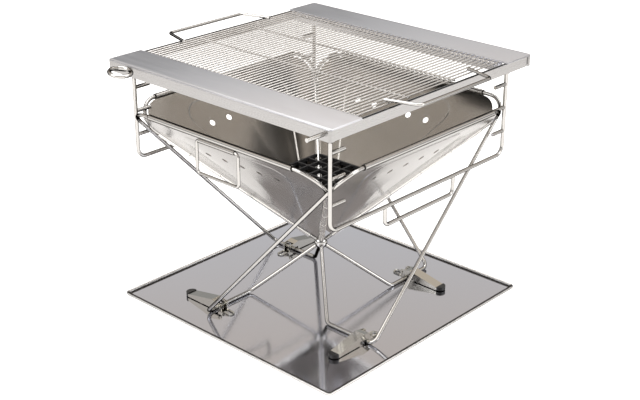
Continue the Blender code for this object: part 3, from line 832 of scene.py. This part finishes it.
@dataclass(frozen=True)
class Lamp:
    """Square area light that points at the grill."""

    name: str
    spot: Triple
    size: float
    power: float

    AIM = (0.0, 0.0, 0.2)

    def build(self) -> None:
        """Hang the light."""
        data = bpy.data.lights.new(self.name, "AREA")
        data.shape = "SQUARE"
        data.size = self.size
        data.energy = self.power
        made = bpy.data.objects.new(self.name, data)
        bpy.context.scene.collection.objects.link(made)
        made.location = self.spot
        toward = Vector(self.AIM) - Vector(self.spot)
        made.rotation_euler = toward.to_track_quat("-Z", "Y").to_euler()
        LOG.info("light %s, %.0f W", self.name, self.power)


@dataclass
class Studio:
    """Pale floor, backdrop, soft light and the photo's camera."""

    location: Triple = (-1.3024, -1.2078, 0.9408)
    azimuth: float = math.radians(-47.111)
    elevation: float = math.radians(23.699)
    lens: float = 69.18
    sensor: float = 36.0
    floor_radius: float = 30.0
    floor_drop: float = 0.0004
    floor_roughness: float = 0.9
    floor_warmth: Colour = (1.0, 0.95, 0.88)
    floor_colour: tuple[float, float] = (0.92, 0.06)
    floor_glow: tuple[float, float] = (0.24, 0.0)
    camera_glow: float = 0.5
    shade_reach: tuple[float, float] = (0.42, 0.85)
    sky_share: tuple[float, float] = (0.92, 1.25)
    sky_warmth: float = 0.12

    LAMPS = (
        Lamp("overhead", (0.2, 0.1, 2.2), 2.2, 26.0),
        Lamp("left_box", (-2.2, 0.6, 1.5), 1.6, 18.0),
        Lamp("right_box", (0.9, -2.2, 1.3), 1.4, 14.0),
    )
    # Place on the way from straight down to straight up, brightness, and whether the band is warm.
    SKY = (
        (0.0, 0.80, False), (0.47, 0.45, False), (0.52, 0.16, False), (0.60, 0.38, False),
        (0.70, 0.78, False), (0.76, 0.66, True), (0.85, 0.50, True), (1.0, 1.0, False),
    )
    WHITE = (1.0, 1.0, 1.0)
    FLOOR_SIDES = 96

    @property
    def camera_side(self) -> Triple:
        """Level direction from the grill to the camera."""
        return (math.sin(self.azimuth), -math.cos(self.azimuth), 0.0)

    def camera(self) -> None:
        """Set the camera at the photo's place and angle."""
        data = bpy.data.cameras.new("camera")
        data.lens = self.lens
        data.sensor_width = self.sensor
        made = bpy.data.objects.new("camera", data)
        bpy.context.scene.collection.objects.link(made)
        back = Vector(self.camera_side) * math.cos(self.elevation)
        back.z = math.sin(self.elevation)
        right = Vector((math.cos(self.azimuth), math.sin(self.azimuth), 0.0))
        turned = Matrix((right, back.cross(right), back)).transposed().to_4x4()
        made.matrix_world = Matrix.Translation(self.location) @ turned
        bpy.context.scene.camera = made

    def sky(self, nodes: Nodes, height: Socket) -> Socket:
        """Colour the bands of light and grey that the metal reflects.

        Args:
            nodes: Nodes of the world.
            height: Height on the sky, 0 to 1.

        Returns:
            The colour.
        """
        ramp = nodes.node("ShaderNodeValToRGB")
        elements = ramp.color_ramp.elements
        while len(elements) < len(self.SKY):
            elements.new(0.5)
        for element, (place, value, warm) in zip(elements, self.SKY):
            element.position = place
            warmth = self.sky_warmth if warm else 0.0
            element.color = (value * (1 + warmth), value, value * (1 - warmth), 1.0)
        nodes.link(height, ramp.inputs["Fac"])
        return ramp.outputs["Color"]

    def world(self) -> None:
        """Show the camera white, and the metal the bands of the sky, brighter on the camera's side."""
        world = bpy.data.worlds.new("studio")
        bpy.context.scene.world = world
        world.use_nodes = True
        nodes = Nodes(world.node_tree)
        nodes.tree.nodes.clear()
        place = nodes.node("ShaderNodeTexCoord").outputs["Generated"]
        split = nodes.node("ShaderNodeSeparateXYZ")
        nodes.link(place, split.inputs["Vector"])
        sky = self.sky(nodes, nodes.spread(split.outputs["Z"], (-1.0, 1.0)))
        share = nodes.spread(nodes.toward(place, self.camera_side), (-1.0, 1.0), self.sky_share)
        scaled = nodes.node("ShaderNodeVectorMath", operation="SCALE")
        nodes.link(sky, scaled.inputs[0])
        nodes.link(share, scaled.inputs["Scale"])
        seen = nodes.node("ShaderNodeLightPath").outputs["Is Camera Ray"]
        mix = nodes.blend(seen, self.WHITE, self.WHITE)
        nodes.link(scaled.outputs["Vector"], mix.inputs["A"])
        background = nodes.node("ShaderNodeBackground")
        nodes.link(mix.outputs["Result"], background.inputs["Color"])
        nodes.link(background.outputs["Background"], nodes.node("ShaderNodeOutputWorld").inputs["Surface"])

    def floor_shade(self) -> bpy.types.NodeTree:
        """Make the node group with how much the floor falls into shade behind the grill.

        Returns:
            The group.
        """
        group = Group("floor_shade", {}, ("Mask",))
        away = group.toward(group.place, -Vector(self.camera_side))
        group.link(group.spread(away, self.shade_reach, smooth=True), group.end.inputs["Mask"])
        return group.tree

    def floor_material(self) -> bpy.types.Material:
        """Make the floor's material, which the metal sees warmer, and darker behind the grill.

        Returns:
            The material.
        """
        material = bpy.data.materials.new("floor")
        material.use_nodes = True
        nodes = Nodes(material.node_tree)
        shader = nodes.tree.nodes["Principled BSDF"]
        shader.inputs["Roughness"].default_value = self.floor_roughness
        seen = nodes.node("ShaderNodeLightPath").outputs["Is Camera Ray"]
        glow = nodes.blend(seen, self.floor_warmth, self.WHITE)
        nodes.link(glow.outputs["Result"], shader.inputs["Emission Color"])
        shade = nodes.node("ShaderNodeGroup", node_tree=self.floor_shade())
        dim = nodes.node("ShaderNodeMath", operation="MULTIPLY")
        nodes.link(nodes.spread(seen, (0.0, 1.0), (1.0, 0.0)), dim.inputs[0])
        nodes.link(shade.outputs["Mask"], dim.inputs[1])
        colour = nodes.spread(dim.outputs["Value"], (0.0, 1.0), self.floor_colour)
        nodes.link(colour, shader.inputs["Base Color"])
        lit = nodes.node("ShaderNodeMath", operation="MULTIPLY_ADD")
        lit.inputs[1].default_value = self.camera_glow
        nodes.link(seen, lit.inputs[0])
        nodes.link(nodes.spread(dim.outputs["Value"], (0.0, 1.0), self.floor_glow), lit.inputs[2])
        nodes.link(lit.outputs["Value"], shader.inputs["Emission Strength"])
        return material

    def floor(self) -> None:
        """Lay the pale floor under the grill."""
        builder = Builder()
        sides = self.FLOOR_SIDES
        bmesh.ops.create_circle(builder.bm, cap_ends=True, segments=sides, radius=self.floor_radius)
        made = builder.moved(Matrix.Translation((0.0, 0.0, -self.floor_drop))).finish("floor")
        made.data.materials.append(self.floor_material())
        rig.stage(made)

    def build(self) -> None:
        """Set up the whole studio."""
        bpy.context.scene.view_settings.view_transform = "Standard"
        self.camera()
        for lamp in self.LAMPS:
            lamp.build()
        self.world()
        self.floor()


@dataclass
class Assembly:
    """Sub-assembly of the grill; lengths in metres."""

    palette: Palette
    bowl: BowlShape
    top: TopShape

    def publish(
        self, made: bpy.types.Object, looks: Look | tuple[Look, ...], slot: Slot, body: str, *nodes: str
    ) -> None:
        """Finish a piece, let it ride on its body and stand for its CAD nodes.

        Args:
            made: The piece.
            looks: Its finish, or one for each material index of its faces.
            slot: Material slot of the record that it belongs to.
            body: CAD body that it moves with.
            nodes: CAD nodes that it stands for.
        """
        self.palette.dress(made, *(looks if isinstance(looks, tuple) else (looks,)))
        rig.slot(made, slot.value)
        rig.ride(made, body)
        if nodes:
            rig.replaces(made, *nodes)
        LOG.info("%s: %d faces on %s", made.name, len(made.data.polygons), body)

    def keep(self, node: str, look: Look) -> None:
        """Leave a CAD node showing with a finish of its own."""
        self.palette.dress(frame["nodes"][node], look)
        LOG.info("%s: CAD shape kept", node)

    def build(self) -> None:
        """Build every piece of the sub-assembly."""
        raise NotImplementedError


@dataclass
class BasePlate(Assembly):
    """Mirror sheet on the floor, with a rolled bead along its rim."""

    half: float = 0.225
    sheet: float = 0.001
    bead: float = 0.0025
    corner: float = 0.008
    sharpest: float = 0.0005
    # Thin dark strip on the sheet just inside the bead, a painted shadow where the bead meets the sheet.
    seam_corner: float = 0.0035
    seam_rise: float = 0.0003
    seam_width: float = 0.0025

    BEAD_STEPS = 16
    # Rings of the bead between which its top takes a painted shade band.
    CREASE = slice(6, 9)

    def square(self, half: float, corner: float, height: float) -> list[Vector]:
        """Make a rounded square ring of points.

        Args:
            half: Half its width.
            corner: Radius of its corners.
            height: Height at which it lies.

        Returns:
            The points.
        """
        path = Path(closed=True, steps=6)
        for x, y in ((1, -1), (1, 1), (-1, 1), (-1, -1)):
            path.to(x * half, y * half, height, max(corner, self.sharpest))
        return path.points()

    def bead_rings(self) -> list[list[Vector]]:
        """Make the rings of points round the bead, from its underside outward.

        Returns:
            The rings, with the first one again at the end.
        """
        rings = []
        for step in range(self.BEAD_STEPS + 1):
            turn = -math.pi / 2 + step * 2 * math.pi / self.BEAD_STEPS
            reach = self.half - self.bead + self.bead * math.cos(turn)
            corner = self.corner - (self.half - reach)
            rings.append(self.square(reach, corner, self.bead + self.bead * math.sin(turn)))
        return rings

    def band(self, name: str, look: Look, *runs: list[list[Vector]]) -> None:
        """Build an open band of the rim.

        Args:
            name: Name of the piece.
            look: Its finish.
            runs: Runs of rings that its surfaces pass through.
        """
        builder = Builder()
        for rings in runs:
            builder.loops(rings, capped=False)
        self.publish(builder.finish(name, ROUND_SHARP), look, Slot.MIRROR, "stand")

    def build(self) -> None:
        """Build the rim, the painted shade band along its top, the painted shadow strip inside it and the sheet."""
        rings = self.bead_rings()
        # Painted shade band along the top of the bead.
        self.band("plate_crease", Look.SEAM, rings[self.CREASE])
        self.band("plate_rim", Look.BEAD, rings[: self.CREASE.start + 1], rings[self.CREASE.stop - 1 :])
        # Painted shadow strip on the sheet just inside the bead.
        outer, height = self.half - 2 * self.bead, self.sheet + self.seam_rise
        self.band("plate_seam", Look.SEAM, [
            self.square(outer, self.seam_corner, height),
            self.square(outer - self.seam_width, self.seam_corner, height),
        ])
        inner, corner = self.half - self.bead, self.corner - self.bead
        flat = Builder().loops([self.square(inner, corner, 0.0), self.square(inner, corner, self.sheet)])
        self.publish(flat.finish("plate_sheet"), Look.MIRROR, Slot.MIRROR, "stand", "base_plate")


@dataclass
class Bowl(Assembly):
    """Hub and four sides, each a pressed sheet that is rolled round a bent wire."""

    hem_wall: float = 0.001
    hem_end_gap: float = 0.001
    leg_top_u: float = 0.190
    leg_stand_off: float = 0.00275
    leg_leaves_hem: float = 0.006
    leg_foot_u: float = 0.180
    foot_inner_u: float = 0.085
    foot_z: float = 0.0043
    wire_end: float = 0.0078
    hub_radius: float = 0.0104
    pin_bend: float = 0.0355
    leg_bend: float = 0.0285
    foot_bend: float = 0.012
    sheet: float = 0.001
    press: float = 0.001
    press_slope: float = 0.0035
    press_low: float = 0.070
    press_below_rim: float = 0.026
    press_narrow: float = 0.018
    press_wide: float = 0.122
    press_low_bend: float = 0.010
    press_high_bend: float = 0.025
    press_bend_loss: float = 0.4
    knuckle_wall: float = 0.0012
    knuckle_gap: float = 0.0005
    knuckle_notch: float = 0.001
    hinge_low: float = 0.022
    hinge_top: float = 0.312
    setback: float = 0.0052
    pin_corner_cut: float = 0.032
    leg_corner_cut: float = 0.030
    vent_radius: float = 0.005
    vent_spacing: float = 0.036
    vent_below_rim: float = 0.070
    # Dark rings just past the hem's ends, painted shade at its open ends.
    seam_gap: float = 0.0004
    seam_width: float = 0.0012
    seam_inside: float = 0.0001
    seam_share: float = 0.98
    bail_below: float = 0.0048
    bail_off: float = 0.0056
    bail_wire: float = 0.0024
    bail_half: float = 0.043
    bail_drop: float = 0.051
    bail_bend: float = 0.006
    bail_tube_half: float = 0.036

    HUB_STEPS = (24, 16)
    KNUCKLES = 5
    KNUCKLE_STEPS = 16
    VENTS = 5
    VENT_STEPS = 20
    PRESS_STEPS = 4
    INNER_FACING = -0.5

    @property
    def hem_half(self) -> float:
        """Half the length of the rolled hem, up to where the wire starts to bend."""
        bend = self.pin_bend / math.tan(math.pi / 4 - self.bowl.half_angle / 2)
        return self.bowl.rim_half - bend - self.hem_end_gap

    def wire_path(self) -> list[Vector]:
        """Trace the axis of a side's wire: hinge pin, rim, leg, foot and the way to the hub.

        Returns:
            Points in the side's own axes.
        """
        bowl = self.bowl
        foot_w = -(bowl.hub_z - self.foot_z) / bowl.upward
        inner = Vector((foot_w, self.foot_inner_u, 0.0))
        path = Path(steps=12)
        path.to(*bowl.edge_point(self.wire_end, 0.0, Hand.PIN))
        path.to(*bowl.edge_point(bowl.edge, 0.0, Hand.PIN), bend=self.pin_bend)
        path.to(bowl.slant, self.hem_half + self.leg_leaves_hem)
        path.to(bowl.slant, self.leg_top_u, self.leg_stand_off, bend=self.leg_bend)
        path.to(foot_w, self.leg_foot_u, bend=self.foot_bend)
        path.to(*inner, bend=self.foot_bend)
        path.to(*(inner.normalized() * self.wire_end))
        return path.points()

    def knuckles(self, hand: Hand) -> list[tuple[float, float]]:
        """Find where a side's own knuckles lie along an edge.

        Args:
            hand: Which of the two edges.

        Returns:
            Start and end of each knuckle.
        """
        step = (self.hinge_top - self.hinge_low) / self.KNUCKLES
        first = 0 if hand is Hand.PIN else 1
        starts = [self.hinge_low + index * step for index in range(first, self.KNUCKLES, 2)]
        return [(start + self.knuckle_gap, start + step - self.knuckle_gap) for start in starts]

    def tabs(self, hand: Hand) -> list[Vector]:
        """Trace the sheet's tabs that reach the knuckles of an edge.

        Args:
            hand: Which of the two edges.

        Returns:
            Points from the hub up.
        """
        reach = self.bowl.bore + self.knuckle_wall / 2
        points = []
        for start, end in self.knuckles(hand):
            low, high = start + self.knuckle_notch, end - self.knuckle_notch
            for along, inset in ((low, self.setback), (low, reach), (high, reach), (high, self.setback)):
                points.append(self.bowl.edge_point(along, inset, hand))
        return points

    def outline(self) -> list[Vector]:
        """Trace the outline of a side's sheet.

        Returns:
            Points in the side's own axes.
        """
        bowl = self.bowl
        top = bowl.slant - bowl.bore - self.hem_wall / 2
        along = (top - self.setback * math.sin(bowl.half_angle)) / math.cos(bowl.half_angle)
        path = Path(closed=True)
        for point in self.tabs(Hand.PIN):
            path.to(*point)
        path.to(*bowl.edge_point(along, self.setback, Hand.PIN), bend=self.pin_corner_cut)
        path.to(*bowl.edge_point(along, self.setback, Hand.LEG), bend=self.leg_corner_cut)
        for point in reversed(self.tabs(Hand.LEG)):
            path.to(*point)
        return path.points()

    def panel(self, inset: float, height: float) -> list[Vector]:
        """Trace the pressed panel, drawn in and raised.

        Args:
            inset: How far it is drawn in.
            height: Height above the middle of the sheet.

        Returns:
            Points in the side's own axes.
        """
        low, high = self.press_low + inset, self.bowl.slant - self.press_below_rim - inset
        narrow, wide = self.press_narrow - inset, self.press_wide - inset
        loss = inset * self.press_bend_loss
        path = Path(closed=True)
        for up, across, bend in (
            (low, -narrow, self.press_low_bend), (high, -wide, self.press_high_bend),
            (high, wide, self.press_high_bend), (low, narrow, self.press_low_bend),
        ):
            path.to(up, across, height, bend - loss)
        return path.points()

    def vents(self, height: float) -> list[list[Vector]]:
        """Trace the vent holes.

        Args:
            height: Height above the middle of the sheet.

        Returns:
            A ring of points for each hole.
        """
        up = self.bowl.slant - self.vent_below_rim
        rings = []
        for index in range(self.VENTS):
            middle = Vector((up, (index - (self.VENTS - 1) / 2) * self.vent_spacing, height))
            turns = [2 * math.pi * step / self.VENT_STEPS for step in range(self.VENT_STEPS)]
            rings.append([
                middle + Vector((math.cos(turn), math.sin(turn), 0.0)) * self.vent_radius for turn in turns
            ])
        return rings

    def pressed(self) -> Builder:
        """Build a side's sheet with its raised panel and vents, and its inner faces on material index 1.

        Returns:
            The builder, in the side's own axes.
        """
        low = -self.sheet / 2
        high = low + self.press
        builder = Builder().sheet([self.outline(), self.panel(0.0, low)])
        slope = []
        for step in range(self.PRESS_STEPS + 1):
            share = step / self.PRESS_STEPS
            smooth = share * share * (3 - 2 * share)
            slope.append(self.panel(self.press_slope * share, low + self.press * smooth))
        builder.loops(slope, capped=False)
        builder.sheet([self.panel(self.press_slope, high), *self.vents(high)])
        builder.weld(SIDE_WELD)
        builder.grow(builder.bm.faces, self.sheet, True)
        bmesh.ops.recalc_face_normals(builder.bm, faces=builder.bm.faces)
        for face in builder.bm.faces:
            face.material_index = int(face.normal.z < self.INNER_FACING)
        return builder

    def rolls(self) -> Builder:
        """Build the knuckles of both edges.

        Returns:
            The builder, in the side's own axes.
        """
        builder = Builder()
        outer = self.bowl.bore + self.knuckle_wall
        for hand in Hand:
            for span in self.knuckles(hand):
                foot, head = (self.bowl.edge_point(along, 0.0, hand) for along in span)
                builder.pipe(foot, head, outer, self.bowl.bore, self.KNUCKLE_STEPS)
        return builder

    def hem(self, held: bool) -> Builder:
        """Build the rolled hem.

        Args:
            held: Whether the side has the bail's holder.

        Returns:
            The builder, in the side's own axes.
        """
        slant, bore = self.bowl.slant, self.bowl.bore
        ends = [Vector((slant, hand.value * self.hem_half, 0.0)) for hand in Hand]
        builder = Builder().pipe(*ends, bore + self.hem_wall, bore)
        if held:
            below, bore = slant - self.bail_below, self.bail_wire + self.bowl.bore_gap
            ends = [Vector((below, hand.value * self.bail_tube_half, self.bail_off)) for hand in Hand]
            builder.pipe(*ends, bore + self.hem_wall, bore)
        return builder

    def seams(self) -> Builder:
        """Build the dark rings where the hem ends, painted shade at the hem's open ends.

        Returns:
            The builder, in the side's own axes.
        """
        builder = Builder()
        outer = (self.bowl.bore + self.hem_wall) * self.seam_share
        for hand in Hand:
            at = Vector((self.bowl.slant, hand.value * (self.hem_half + self.seam_gap), 0.0))
            end = at + Vector((0.0, hand.value * self.seam_width, 0.0))
            builder.pipe(at, end, outer, self.bowl.wire + self.seam_inside)
        return builder

    def side(self, face: Face) -> None:
        """Build one side with its knuckles, hem, wire and the dark rings of painted shade at the hem's ends.

        Args:
            face: Which side.
        """
        held = face in ENDS
        wire = Builder().sweep(self.wire_path(), self.bowl.wire)
        for word, builder, sharp, looks, slot, nodes in (
            ("knuckles", self.rolls(), TUBE_SHARP, Look.KNUCKLE, Slot.MIRROR, ()),
            (
                "sheet", self.pressed(), PANEL_SHARP, (Look.SHEET, Look.INSIDE), Slot.MIRROR,
                (f"bowl_side_{face.word}",),
            ),
            ("hem", self.hem(held), TUBE_SHARP, Look.WIRE, Slot.MIRROR, ()),
            ("wire", wire, ROUND_SHARP, Look.WIRE, Slot.WIRE, (f"side_wire_{face.word}",)),
            ("seams", self.seams(), FLAT_SHARP, Look.SEAM, Slot.MIRROR, ()),
        ):
            made = builder.moved(face.spin @ self.bowl.plane()).finish(f"side_{face.word}_{word}", sharp)
            self.publish(made, looks, slot, "stand", *nodes)

    def hub(self) -> None:
        """Build the small ball where the wires meet."""
        builder = Builder()
        around, up = self.HUB_STEPS
        bmesh.ops.create_uvsphere(builder.bm, u_segments=around, v_segments=up, radius=self.hub_radius)
        builder.moved(Matrix.Translation((0.0, 0.0, self.bowl.hub_z)))
        self.publish(builder.finish("hub_ball"), Look.WIRE, Slot.MIRROR, "stand", "hub")

    def bail(self, face: Face) -> None:
        """Build the closed wire loop under a hem.

        Args:
            face: Which side.
        """
        at = self.bowl.plane() @ Vector((self.bowl.slant - self.bail_below, 0.0, self.bail_off))
        path = Path(closed=True)
        for hand, drop in ((-1, 0.0), (1, 0.0), (1, self.bail_drop), (-1, self.bail_drop)):
            path.to(at.x, hand * self.bail_half, at.z - drop, self.bail_bend)
        builder = Builder().sweep(path.points(), self.bail_wire, closed=True).moved(face.spin)
        name = f"bail_{face.word}"
        self.publish(builder.finish(f"{name}_wire", ROUND_SHARP), Look.WIRE, Slot.WIRE, name, name)

    def build(self) -> None:
        """Build the hub, the four sides and the two bails."""
        self.hub()
        for face in Face:
            self.side(face)
        for face in ENDS:
            self.bail(face)


@dataclass
class Latches(Assembly):
    """Foot latches, which keep their CAD shape."""

    def build(self) -> None:
        """Dress the pieces of all four latches."""
        for face in Face:
            for piece in ("bracket", "keeper", "pin", "lever"):
                self.keep(f"latch_{face.word}_{piece}", Look.LATCH)
            self.keep(f"latch_{face.word}_cap", Look.PLASTIC)


@dataclass
class Grate(Assembly):
    """Charcoal grate, which keeps its CAD shape."""

    def build(self) -> None:
        """Dress the grate."""
        self.keep("charcoal_grate", Look.IRON)


@dataclass
class SupportFrames(Assembly):
    """Front and back wire frames that carry the top frame on the bowl."""

    post_half: float = 0.198
    plane: float = 0.200
    bottom_z: float = 0.237
    bottom_bend: float = 0.014
    jog_z: float = 0.366
    jog_bend: float = 0.006
    stub_reach: float = 0.028
    stub_top: float = 0.3505
    stub_low: float = 0.275
    stub_seat: float = 0.0003
    front_pivot: Triple = (0.207, -0.212, 0.388)
    back_pivot: Triple = (0.207, 0.182, 0.3895)
    peg_tip: float = 0.255
    hidden_tip: float = 0.216
    loop_left: float = -0.083
    loop_right: float = 0.074
    loop_root: float = 0.001
    loop_drop: float = 0.029
    loop_bend: float = 0.008
    ring_radius: float = 0.016
    ring_x: float = 0.2488
    ring_rise: float = 0.0065
    ring_bend: float = 0.003
    ring_tilt: float = math.radians(8.0)
    ring_gap: float = math.radians(28.0)

    RING_STEPS = 40
    STUB_SPANS = (0.06, 0.97, 1.0)

    def stub_heights(self) -> Triple:
        """Find the heights of a post's three stubs.

        Returns:
            The heights; at the middle one the stub rests on the bowl's wire.
        """
        bowl = self.bowl
        corner = bowl.hub_z + self.plane * bowl.upward / bowl.outward
        return self.stub_top, corner + (2 * bowl.wire + self.stub_seat) / bowl.outward, self.stub_low

    def stubs(self, builder: Builder, plane: float) -> None:
        """Add the hooking stubs of both posts.

        Args:
            builder: The frame's mesh.
            plane: Y of the frame.
        """
        for hand in (-1, 1):
            for height in self.stub_heights():
                root = Vector((hand * self.post_half, plane, height))
                tip = root - Vector((hand * self.stub_reach, 0.0, 0.0))
                builder.sweep([root.lerp(tip, share) for share in self.STUB_SPANS], self.bowl.wire)

    def pull(self, builder: Builder, plane: float) -> None:
        """Add the loop that fingers pull.

        Args:
            builder: The frame's mesh.
            plane: Y of the frame.
        """
        root, foot = self.bottom_z - self.loop_root, self.bottom_z - self.loop_drop
        path = Path().to(self.loop_left, plane, root).to(self.loop_left, plane, foot, self.loop_bend)
        path.to(self.loop_right, plane, foot, self.loop_bend).to(self.loop_right, plane, root)
        builder.sweep(path.points(), self.bowl.wire)

    def posts(self, path: Path, plane: float, pivot: Triple) -> list[Vector]:
        """Run a path down one post, across and up the other, to the pivot's hidden end.

        Args:
            path: The path so far.
            plane: Y of the frame.
            pivot: Place of the pivot on the right.

        Returns:
            Points of the whole frame.
        """
        x, y, z = pivot
        path.to(-x, y, z, self.jog_bend).to(-self.post_half, plane, self.jog_z, self.jog_bend)
        path.to(-self.post_half, plane, self.bottom_z, self.bottom_bend)
        path.to(self.post_half, plane, self.bottom_z, self.bottom_bend)
        path.to(self.post_half, plane, self.jog_z, self.jog_bend).to(x, y, z, self.jog_bend)
        return path.to(self.hidden_tip, y, z).points()

    def ring(self) -> list[Vector]:
        """Trace the carrying ring, ending on the line of the pivot.

        Returns:
            Points round the ring.
        """
        root = Vector((-self.ring_x, self.back_pivot[1], self.back_pivot[2] + self.ring_rise))
        tilt = Matrix.Rotation(self.ring_tilt, 4, "X")
        sweep = 2 * math.pi - self.ring_gap
        points = []
        for step in range(self.RING_STEPS, -1, -1):
            turn = math.pi / 2 + sweep * step / self.RING_STEPS
            spoke = Vector((math.cos(turn), math.sin(turn) - 1.0, 0.0)) * self.ring_radius
            points.append(root + tilt @ spoke)
        return points

    def wire(self, face: Face, path: Path, plane: float, pivot: Triple) -> None:
        """Build one frame.

        Args:
            face: Front or back.
            path: Start of its wire, outside the left shelf.
            plane: Y of the frame.
            pivot: Place of the pivot on the right.
        """
        builder = Builder().sweep(self.posts(path, plane, pivot), self.bowl.wire)
        self.stubs(builder, plane)
        self.pull(builder, plane)
        body = f"frame_{face.word}"
        made = builder.finish(f"{body}_wire", ROUND_SHARP)
        self.publish(made, Look.WIRE, Slot.WIRE, body, f"support_frame_{face.word}")

    def build(self) -> None:
        """Build the front frame with its peg and the back frame with its ring."""
        _, y, z = self.front_pivot
        self.wire(Face.FRONT, Path().to(-self.peg_tip, y, z), -self.plane, self.front_pivot)
        back = Path()
        for point in self.ring():
            back.to(*point)
        _, y, z = self.back_pivot
        back.to(-self.top.half - self.bowl.wire, y, z, self.ring_bend)
        self.wire(Face.BACK, back, self.plane, self.back_pivot)


@dataclass
class TopFrame(Assembly):
    """Two shelves with folded aprons, and the rails, which keep their CAD shape."""

    apron_drop: float = 0.018
    sheet: float = 0.0012
    corner: float = 0.005
    wrap_x: float = 0.217
    ledge_half: float = 0.2145
    ledge_reach: float = 0.013
    web_drop: float = 0.0022
    inner_inset: float = 0.0003

    # Inset and drop of the rings that round the shelf's edge.
    EDGE_ROUND = ((0.0018, 0.0), (0.0005, 0.0006), (0.0, 0.0018), (0.0, 0.0024))
    CORNER_STEPS = 10

    def plan(self, inset: float, drop: float) -> list[Vector]:
        """Trace the left shelf at one height, drawn in at its outer sides.

        Args:
            inset: How far it is drawn in.
            drop: Depth below the shelf's top.

        Returns:
            Points of the outline.
        """
        outer, end, bend = -self.top.half + inset, self.top.half - inset, self.corner - inset
        inner, height = self.top.shelf_inner - min(inset, self.inner_inset), self.top.top_z - drop
        path = Path(closed=True, steps=self.CORNER_STEPS)
        path.to(outer, -end, height, bend).to(inner, -end, height)
        return path.to(inner, end, height).to(outer, end, height, bend).points()

    def strip(self, inset: float) -> list[Vector]:
        """Trace the apron round the outer side and both corners.

        Args:
            inset: Distance in from its outer face.

        Returns:
            Points of the line.
        """
        outer, end, bend = -self.top.half + inset, self.top.half - inset, self.corner - inset
        path = Path(steps=self.CORNER_STEPS).to(-self.wrap_x, -end).to(outer, -end, 0.0, bend)
        return path.to(outer, end, 0.0, bend).to(-self.wrap_x, end).points()

    def shelf(self, face: Face) -> None:
        """Build a shelf with its apron, inner web and the net's ledge.

        Args:
            face: Which side.
        """
        low, web_top = self.top.top_z - self.apron_drop, self.top.top_z - self.web_drop
        apron = Builder().prism(self.strip(0.0) + self.strip(self.sheet)[::-1], low, web_top)
        made = apron.moved(face.spin).finish(f"shelf_{face.word}_apron")
        self.publish(made, Look.APRON, Slot.BRUSHED, "top_frame")
        rings = [self.plan(*step) for step in self.EDGE_ROUND]
        builder = Builder().loops([*rings, self.plan(self.sheet, self.EDGE_ROUND[-1][1])])
        inner, ledge = self.top.shelf_inner, self.top.ledge_z
        left, half = inner - self.sheet, self.ledge_half
        for right, bottom, height in (
            (inner, low, web_top), (inner + self.ledge_reach, ledge - self.sheet, ledge),
        ):
            corners = ((left, -half), (right, -half), (right, half), (left, half))
            builder.prism([Vector((x, y, 0.0)) for x, y in corners], bottom, height)
        made = builder.moved(face.spin).finish(f"shelf_{face.word}_sheet")
        self.publish(made, Look.BRUSHED, Slot.BRUSHED, "top_frame", f"shelf_{face.word}")

    def build(self) -> None:
        """Build the shelves and dress the rails."""
        for face in ENDS:
            self.shelf(face)
        for node in ("rail_front", "rail_back"):
            self.keep(node, Look.APRON)


@dataclass
class Net(Assembly):
    """Grill net and its two wire handles."""

    pitch: float = 0.0084
    side_gap: float = 0.002
    rod_spacing: float = 0.1035
    rod_overhang: float = 0.002
    handle_wire: float = 0.0024
    handle_gap: float = 0.0003
    root_x: float = 0.094
    root_y: float = 0.203
    tip_x: float = 0.079
    tip_y: float = 0.254
    handle_bend: float = 0.007

    BARS = 51
    RODS = 4
    BAR_SIDES = 10

    def bars(self) -> None:
        """Build the round bars with the cross rods below them."""
        top = self.top
        half = top.half - top.shelf_width - self.side_gap
        reach = (self.BARS - 1) / 2 * self.pitch
        builder = Builder()
        for index in range(self.BARS):
            y, z = index * self.pitch - reach, top.top_z - top.bar_radius
            builder.sweep([Vector((-half, y, z)), Vector((half, y, z))], top.bar_radius, self.BAR_SIDES)
        end = reach + self.rod_overhang
        for index in range(self.RODS):
            x = (index - (self.RODS - 1) / 2) * self.rod_spacing
            line = [Vector((x, -end, top.rod_z)), Vector((x, end, top.rod_z))]
            builder.sweep(line, top.rod_radius, self.BAR_SIDES)
        self.publish(builder.finish("net_bars", ROUND_SHARP), Look.NET, Slot.WIRE, "net", "grill_net")

    def handle(self, face: Face, turn: float) -> None:
        """Build a wire handle over the net's edge.

        Args:
            face: Front or back.
            turn: Angle that brings the front handle there.
        """
        z = self.top.top_z + self.handle_gap + self.handle_wire
        path = Path().to(-self.root_x, -self.root_y, z).to(-self.tip_x, -self.tip_y, z, self.handle_bend)
        path.to(self.tip_x, -self.tip_y, z, self.handle_bend).to(self.root_x, -self.root_y, z)
        builder = Builder().sweep(path.points(), self.handle_wire).moved(Matrix.Rotation(turn, 4, "Z"))
        name = f"net_handle_{face.word}"
        self.publish(builder.finish(f"{name}_wire", ROUND_SHARP), Look.WIRE, Slot.WIRE, "net", name)

    def build(self) -> None:
        """Build the net and both handles."""
        self.bars()
        self.handle(Face.FRONT, 0.0)
        self.handle(Face.BACK, math.pi)


def note_size(key: str) -> None:
    """Write the shown object's bounds under a key.

    Args:
        key: "loaded" before the build, "finished" after it.
    """
    low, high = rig.bounds()
    sizes: dict[str, list[list[float]]] = {}
    if key == "finished":
        with open(SIZE_FILE, encoding="utf-8") as handle:
            sizes = json.load(handle)
    sizes[key] = [[float(value) for value in low], [float(value) for value in high]]
    with open(SIZE_FILE, "w", encoding="utf-8") as handle:
        json.dump(sizes, handle)
    LOG.info("%s bounds %s", key, sizes[key])


def main() -> None:
    """Build the studio, then the grill's sub-assemblies in order."""
    logging.basicConfig(level=logging.INFO)
    note_size("loaded")
    Studio().build()
    palette, bowl, top = Palette(), BowlShape(), TopShape()
    for kind in (BasePlate, Bowl, Latches, Grate, SupportFrames, TopFrame, Net):
        kind(palette, bowl, top).build()
        LOG.info("%s built", kind.__name__)
    note_size("finished")


if __name__ == "__main__":
    main()
